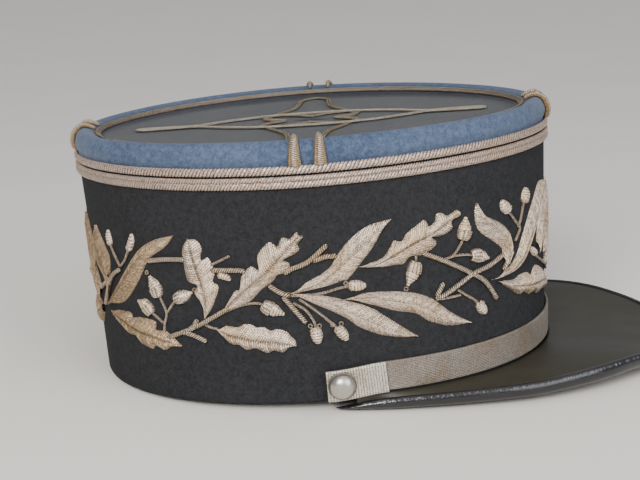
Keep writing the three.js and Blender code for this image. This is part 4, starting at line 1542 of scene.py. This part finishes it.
@dataclass(frozen=True)
class Strap:
    """The lace chin strap and the tab over each end."""

    form: CapForm
    width: float = 12.8
    thickness: float = 1.2
    height: float = 9.0
    end_height: float = 7.0
    start: float = 3.0
    level_from: float = 28.0
    tab_width: float = 13.6
    tab_thickness: float = 1.0
    gap: float = 0.3

    def middle(self, forward: Array) -> Array:
        """Height of the strap's middle line at a forward distance."""
        share = np.clip((forward - self.start) / (self.level_from - self.start), 0, 1)
        share = share * share * (3 - 2 * share)
        return self.end_height + (self.height - self.end_height) * share

    def _strip(self, angles: Array, width: float, inner: float, thickness: float, ribs: int, crosswise: bool) -> MeshDraft:
        """A ribbed strip of lace on the wall.

        Args:
            angles: Where the strip runs.
            width: Its width.
            inner: Distance of its back from the cloth.
            thickness: Its thickness.
            ribs: Ribs across its width, or along its length if crosswise.
            crosswise: True if the ribs run from edge to edge.

        Returns:
            The draft.
        """
        path = self.form.wall(angles, np.full_like(angles, self.height), 0.0)
        middle = self.middle(-path[:, 1])
        along = running_length(path)
        count = 6 * ribs + 1 if not crosswise else 25
        across = np.linspace(-0.5, 0.5, count)
        if crosswise:
            wave = np.abs(np.sin(math.pi * along / along[-1] * ribs))[:, None] * np.ones((1, count))
        else:
            wave = np.abs(np.sin(math.pi * (across + 0.5) * ribs))[None, :] * np.ones((len(angles), 1))
        edge = np.clip((0.5 - np.abs(across)) * width / 0.5, 0, 1)[None, :]
        front = inner + thickness - 0.2 + 0.2 * wave * edge - 0.3 * (1 - edge)
        level = middle[:, None] + across[None, :] * width
        face = self.form.wall(angles[:, None], level, front)
        back = self.form.wall(angles[:, None], level[:, ::-1], inner)
        points = np.concatenate([face, back], axis=1)
        # crest is painted shade: darker between the ribs, and dark on the back face against the wall.
        crest = np.concatenate([(0.15 if crosswise else 0.4) + (0.85 if crosswise else 0.6) * wave, np.full_like(wave, 0.3)], axis=1)
        if crosswise:
            thread = across[None, :] * width / 0.8 + np.zeros((len(angles), 1))
        else:
            thread = along[:, None] / 0.9 + np.zeros((1, count))
        thread = np.concatenate([thread, thread], axis=1)
        forward = -path[:, 1][:, None] / 103.0
        high = np.concatenate([across, across[::-1]])[None, :] + 0.5
        stain = np.clip(0.25 + 0.5 * high + 0.5 * forward, 0, 1)
        draft = MeshDraft()
        draft.add_grid(points, {"crest": crest, "thread": thread, "stain": stain}, loop_columns=True)
        return draft

    def build(self, space: CapSpace, strap_lace: bpy.types.Material, tab_lace: bpy.types.Material) -> None:
        """Builds and dresses the strap and its tabs.

        Args:
            space: The cap's pose.
            strap_lace: Finish of the strap.
            tab_lace: Finish of the tabs.
        """
        end = float(self.form.angle_at(self.form.base, self.start))
        inner = float(self.form.angle_at(self.form.base, self.level_from))
        angles = np.linspace(-end, end, 420)
        strap = self._strip(angles, self.width, self.gap, self.thickness, 18, False)
        Piece("chin_strap_lace", "silver_lace", ("chin_strap",)).join(strap, space, strap_lace)
        seat = self.gap + self.thickness + self.gap
        for side, hand in (("right", -1), ("left", 1)):
            angles = np.linspace(hand * end, hand * inner, 22 * 8 + 1)
            tab = self._strip(angles, self.tab_width, seat, self.tab_thickness, 22, True)
            Piece(f"strap_tab_{side}_lace", "silver_lace", (f"strap_tab_{side}",)).join(tab, space, tab_lace)


@dataclass(frozen=True)
class Buttons:
    """The two domed buttons, each with its post and inner head."""

    form: CapForm
    strap: Strap
    forward: float = 9.4
    height: float = 7.6
    radius: float = 6.0
    dome: float = 4.6
    rim: float = 0.9
    wall: float = 2.5
    post: float = 1.2
    head: float = 2.3
    head_thickness: float = 0.9

    def profile(self) -> Array:
        """The button's outline as radius, distance from the wall and tarnish."""
        seat = self.strap.gap * 3 + self.strap.thickness + self.strap.tab_thickness
        inside = -self.wall - self.strap.gap
        rows = [
            (0.02, inside - self.head_thickness, 0.6),
            (self.head - 0.3, inside - self.head_thickness, 0.6),
            (self.head, inside - self.head_thickness / 2, 0.6),
            (self.head - 0.2, inside, 0.6),
            (self.post, inside - 0.02, 0.8),
            (self.post, seat, 1.0),
            (self.radius - 0.5, seat, 1.0),
            (self.radius - 0.1, seat + 0.15, 0.9),
            (self.radius, seat + self.rim / 2, 0.6),
            (self.radius - 0.15, seat + self.rim, 0.75),
            (self.radius - 0.5, seat + self.rim + 0.05, 1.0),
        ]
        bulge = self.radius - 0.55
        for turn in np.linspace(0.12, math.pi / 2, 18):
            reach = max(bulge * math.cos(turn), 0.02)
            rise = seat + self.rim + (self.dome - self.rim) * math.sin(turn)
            rows.append((reach, rise, float(np.clip(0.9 - turn * 2.2, 0, 1))))
        return np.array(rows)

    def build(self, space: CapSpace, material: bpy.types.Material) -> None:
        """Builds and dresses both buttons."""
        rows = self.profile()
        turns = np.arange(48) * 2 * math.pi / 48
        for side, hand in (("right", -1), ("left", 1)):
            angle = hand * float(self.form.angle_at(self.form.base, self.forward))
            centre = self.form.wall(np.array([angle]), np.array([self.height]), 0.0)[0]
            ends = self.form.wall(np.array([angle - 1e-3, angle + 1e-3]), np.full(2, self.height), 0.0)
            above = self.form.wall(np.array([angle]), np.array([self.height + 1.0]), 0.0)[0]
            ahead = unit(ends[1] - ends[0])
            axis = unit(np.cross(ahead, unit(above - centre)))
            axis = axis if float(axis @ centre) > 0 else -axis
            up = np.cross(axis, ahead)
            ring = ahead[None, :] * np.cos(turns)[:, None] + up[None, :] * np.sin(turns)[:, None]
            points = centre + axis * rows[:, 1][:, None, None] + ring[None, :, :] * rows[:, 0][:, None, None]
            draft = MeshDraft()
            draft.add_grid(points, {"edge": rows[:, 2][:, None]}, loop_columns=True)
            Piece(f"button_{side}_silvered", "button_metal", (f"button_{side}",)).join(draft, space, material)


# ---------------------------------------------------------------- studio


@dataclass(frozen=True)
class Lamp:
    """A soft rectangular lamp, in metres, aimed at the cap."""

    name: str
    place: tuple[float, float, float]
    size: float
    watts: float
    colour: Colour


@dataclass(frozen=True)
class Studio:
    """Pale floor, soft lamps and the camera."""

    floor_half: float = 8.0
    eye: tuple[float, float, float] = (-586.2, 8.1, 200.1)
    azimuth: float = 272.136
    elevation: float = 14.11
    roll: float = -1.678
    lens: float = 72.49
    even_light: float = 0.9
    lamps: tuple[Lamp, ...] = (
        Lamp("lamp_key", (-1.15, 0.30, 0.75), 0.5, 17.0, (1.0, 0.98, 0.95)),
        Lamp("lamp_fill", (-1.0, -0.9, 0.6), 0.9, 8.0, (0.97, 0.98, 1.0)),
    )

    def build_floor(self) -> None:
        """Builds the floor, with a faint mottled finish."""
        mesh = bpy.data.meshes.new("floor")
        half = self.floor_half
        mesh.from_pydata([(-half, -half, 0), (half, -half, 0), (half, half, 0), (-half, half, 0)], [], [(0, 1, 2, 3)])
        floor = bpy.data.objects.new("floor", mesh)
        bpy.context.scene.collection.objects.link(floor)
        finish = Finish("floor_pale", 0.1, Specular_IOR_Level=0.2, Roughness=0.9)
        tree = finish.tree
        place = tree.add("TexCoord").outputs["Object"]
        cloud = tree.noise(place, 9.0, 4.0)
        tooth = tree.noise(place, 900.0, 2.0)
        finish.feed(Base_Color=tree.mix(cloud, (0.84, 0.80, 0.74), (0.90, 0.86, 0.80)), Height=tooth)
        mesh.materials.append(finish.material)

    def build_lamps(self) -> None:
        """Builds the lamps and the even light round them."""
        target = Vector((0.0, 0.0, 0.05))
        for lamp in self.lamps:
            data = bpy.data.lights.new(lamp.name, "AREA")
            data.size = lamp.size
            data.energy = lamp.watts
            data.color = lamp.colour
            made = bpy.data.objects.new(lamp.name, data)
            made.location = lamp.place
            made.rotation_euler = (target - Vector(lamp.place)).to_track_quat("-Z", "Y").to_euler()
            bpy.context.scene.collection.objects.link(made)
        sky = bpy.data.lights.new("lamp_even", "SUN")
        sky.energy = self.even_light
        sky.angle = math.radians(80)
        made = bpy.data.objects.new("lamp_even", sky)
        made.rotation_euler = (math.radians(20), math.radians(-35), 0.0)
        bpy.context.scene.collection.objects.link(made)
        world = bpy.data.worlds.new("soft_room")
        world.use_nodes = True
        world.node_tree.nodes["Background"].inputs["Color"].default_value = (0.93, 0.95, 1.0, 1.0)
        world.node_tree.nodes["Background"].inputs["Strength"].default_value = 0.42
        bpy.context.scene.world = world

    def build_camera(self) -> None:
        """Builds the camera and makes it the scene's."""
        a, e, r = (math.radians(v) for v in (self.azimuth, self.elevation, self.roll))
        back = Vector((math.sin(a) * math.cos(e), -math.cos(a) * math.cos(e), math.sin(e)))
        right = Vector((math.cos(a), math.sin(a), 0.0))
        up = back.cross(right)
        turned_right = right * math.cos(r) + up * math.sin(r)
        turned_up = up * math.cos(r) - right * math.sin(r)
        data = bpy.data.cameras.new("camera")
        data.lens = self.lens
        camera = bpy.data.objects.new("camera", data)
        axes = Matrix((turned_right, turned_up, back)).transposed().to_4x4()
        camera.matrix_world = Matrix.Translation(Vector(self.eye) * MM) @ axes
        bpy.context.scene.collection.objects.link(camera)
        bpy.context.scene.camera = camera


def main() -> None:
    """Builds the cap piece by piece, then the studio."""
    logging.basicConfig(level=logging.INFO, format="%(message)s")
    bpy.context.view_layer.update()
    space = CapSpace.from_record(frame["record"])
    form = CapForm()
    effects = Effects()
    Studio().build_camera()

    black = WoolFinish("black_wool", (0.013, 0.0135, 0.0150), (0.029, 0.030, 0.033), 1000.0, 0.1, 0.0, 0.2)
    braid = ThreadFinish("silver_braid", (0.07, 0.045, 0.038), (0.76, 0.60, 0.50), (0.86, 0.76, 0.64), 0.38)
    stitch = ThreadFinish("silver_stitches", (0.13, 0.095, 0.062), (1.0, 0.82, 0.66), (0.90, 0.80, 0.62), 0.44, 0.11)
    dull = ThreadFinish("tarnished_cord", (0.17, 0.14, 0.10), (0.66, 0.58, 0.44), (0.78, 0.68, 0.52), 0.48)
    knot = ThreadFinish("knot_cord", (0.22, 0.19, 0.14), (0.88, 0.80, 0.66), (0.84, 0.76, 0.60), 0.42)
    rim = ThreadFinish("gilded_cord", (0.16, 0.11, 0.05), (0.66, 0.50, 0.31), (0.72, 0.56, 0.36), 0.48)
    bright = ThreadFinish("bright_core", (0.20, 0.15, 0.11), (1.0, 0.84, 0.68), (0.90, 0.80, 0.64), 0.36)
    leather = LeatherFinish("peak_leather", (0.018, 0.0165, 0.010), (0.050, 0.046, 0.030), (0.05, 0.046, 0.03), 0.36, 0.54, 0.0, 0.35, 0.04)
    # The binding's third colour is its painted glint.
    patent = LeatherFinish("patent_leather", (0.004, 0.004, 0.005), (0.028, 0.028, 0.032), (0.26, 0.26, 0.31), 0.1, 0.22, 0.2, 0.06, 0.05)

    strap_lace = LaceFinish("strap_lace", 0.55, (0.12, 0.106, 0.09), (0.28, 0.25, 0.217), (0.84, 0.76, 0.70))
    tab_lace = LaceFinish("tab_lace", 0.25, (0.17, 0.155, 0.125), (0.68, 0.64, 0.56), (0.6, 0.55, 0.48))

    Band(form).build(space, black.make(effects))
    Crown(form).build(space, CrownFinish().make(effects))
    braid_material = braid.make(effects)
    dull_material = dull.make(effects)
    knot_material = knot.make(effects)
    rim_material = rim.make(effects)
    bright_material = bright.make(effects)
    SeamBraids(form).build(space, braid_material)
    RimLoops(form).build(space, rim_material, bright_material)
    DiscRing(form).build(space, braid_material, dull_material)
    CrownKnot(form).build(space, knot_material, dull_material)
    stitch_material = stitch.make(effects)
    for side, hand in (("right", -1), ("left", 1)):
        Garland(form, side, hand).build(space, stitch_material)
    peak = Peak(form)
    strap = Strap(form)
    peak.build_plate(space, strap, leather.make(effects))
    peak.build_binding(space, patent.make(effects))
    strap.build(space, strap_lace.make(effects), tab_lace.make(effects))
    Buttons(form, strap).build(space, ButtonFinish().make(effects))

    studio = Studio()
    studio.build_floor()
    studio.build_lamps()


if __name__ == "__main__":
    main()
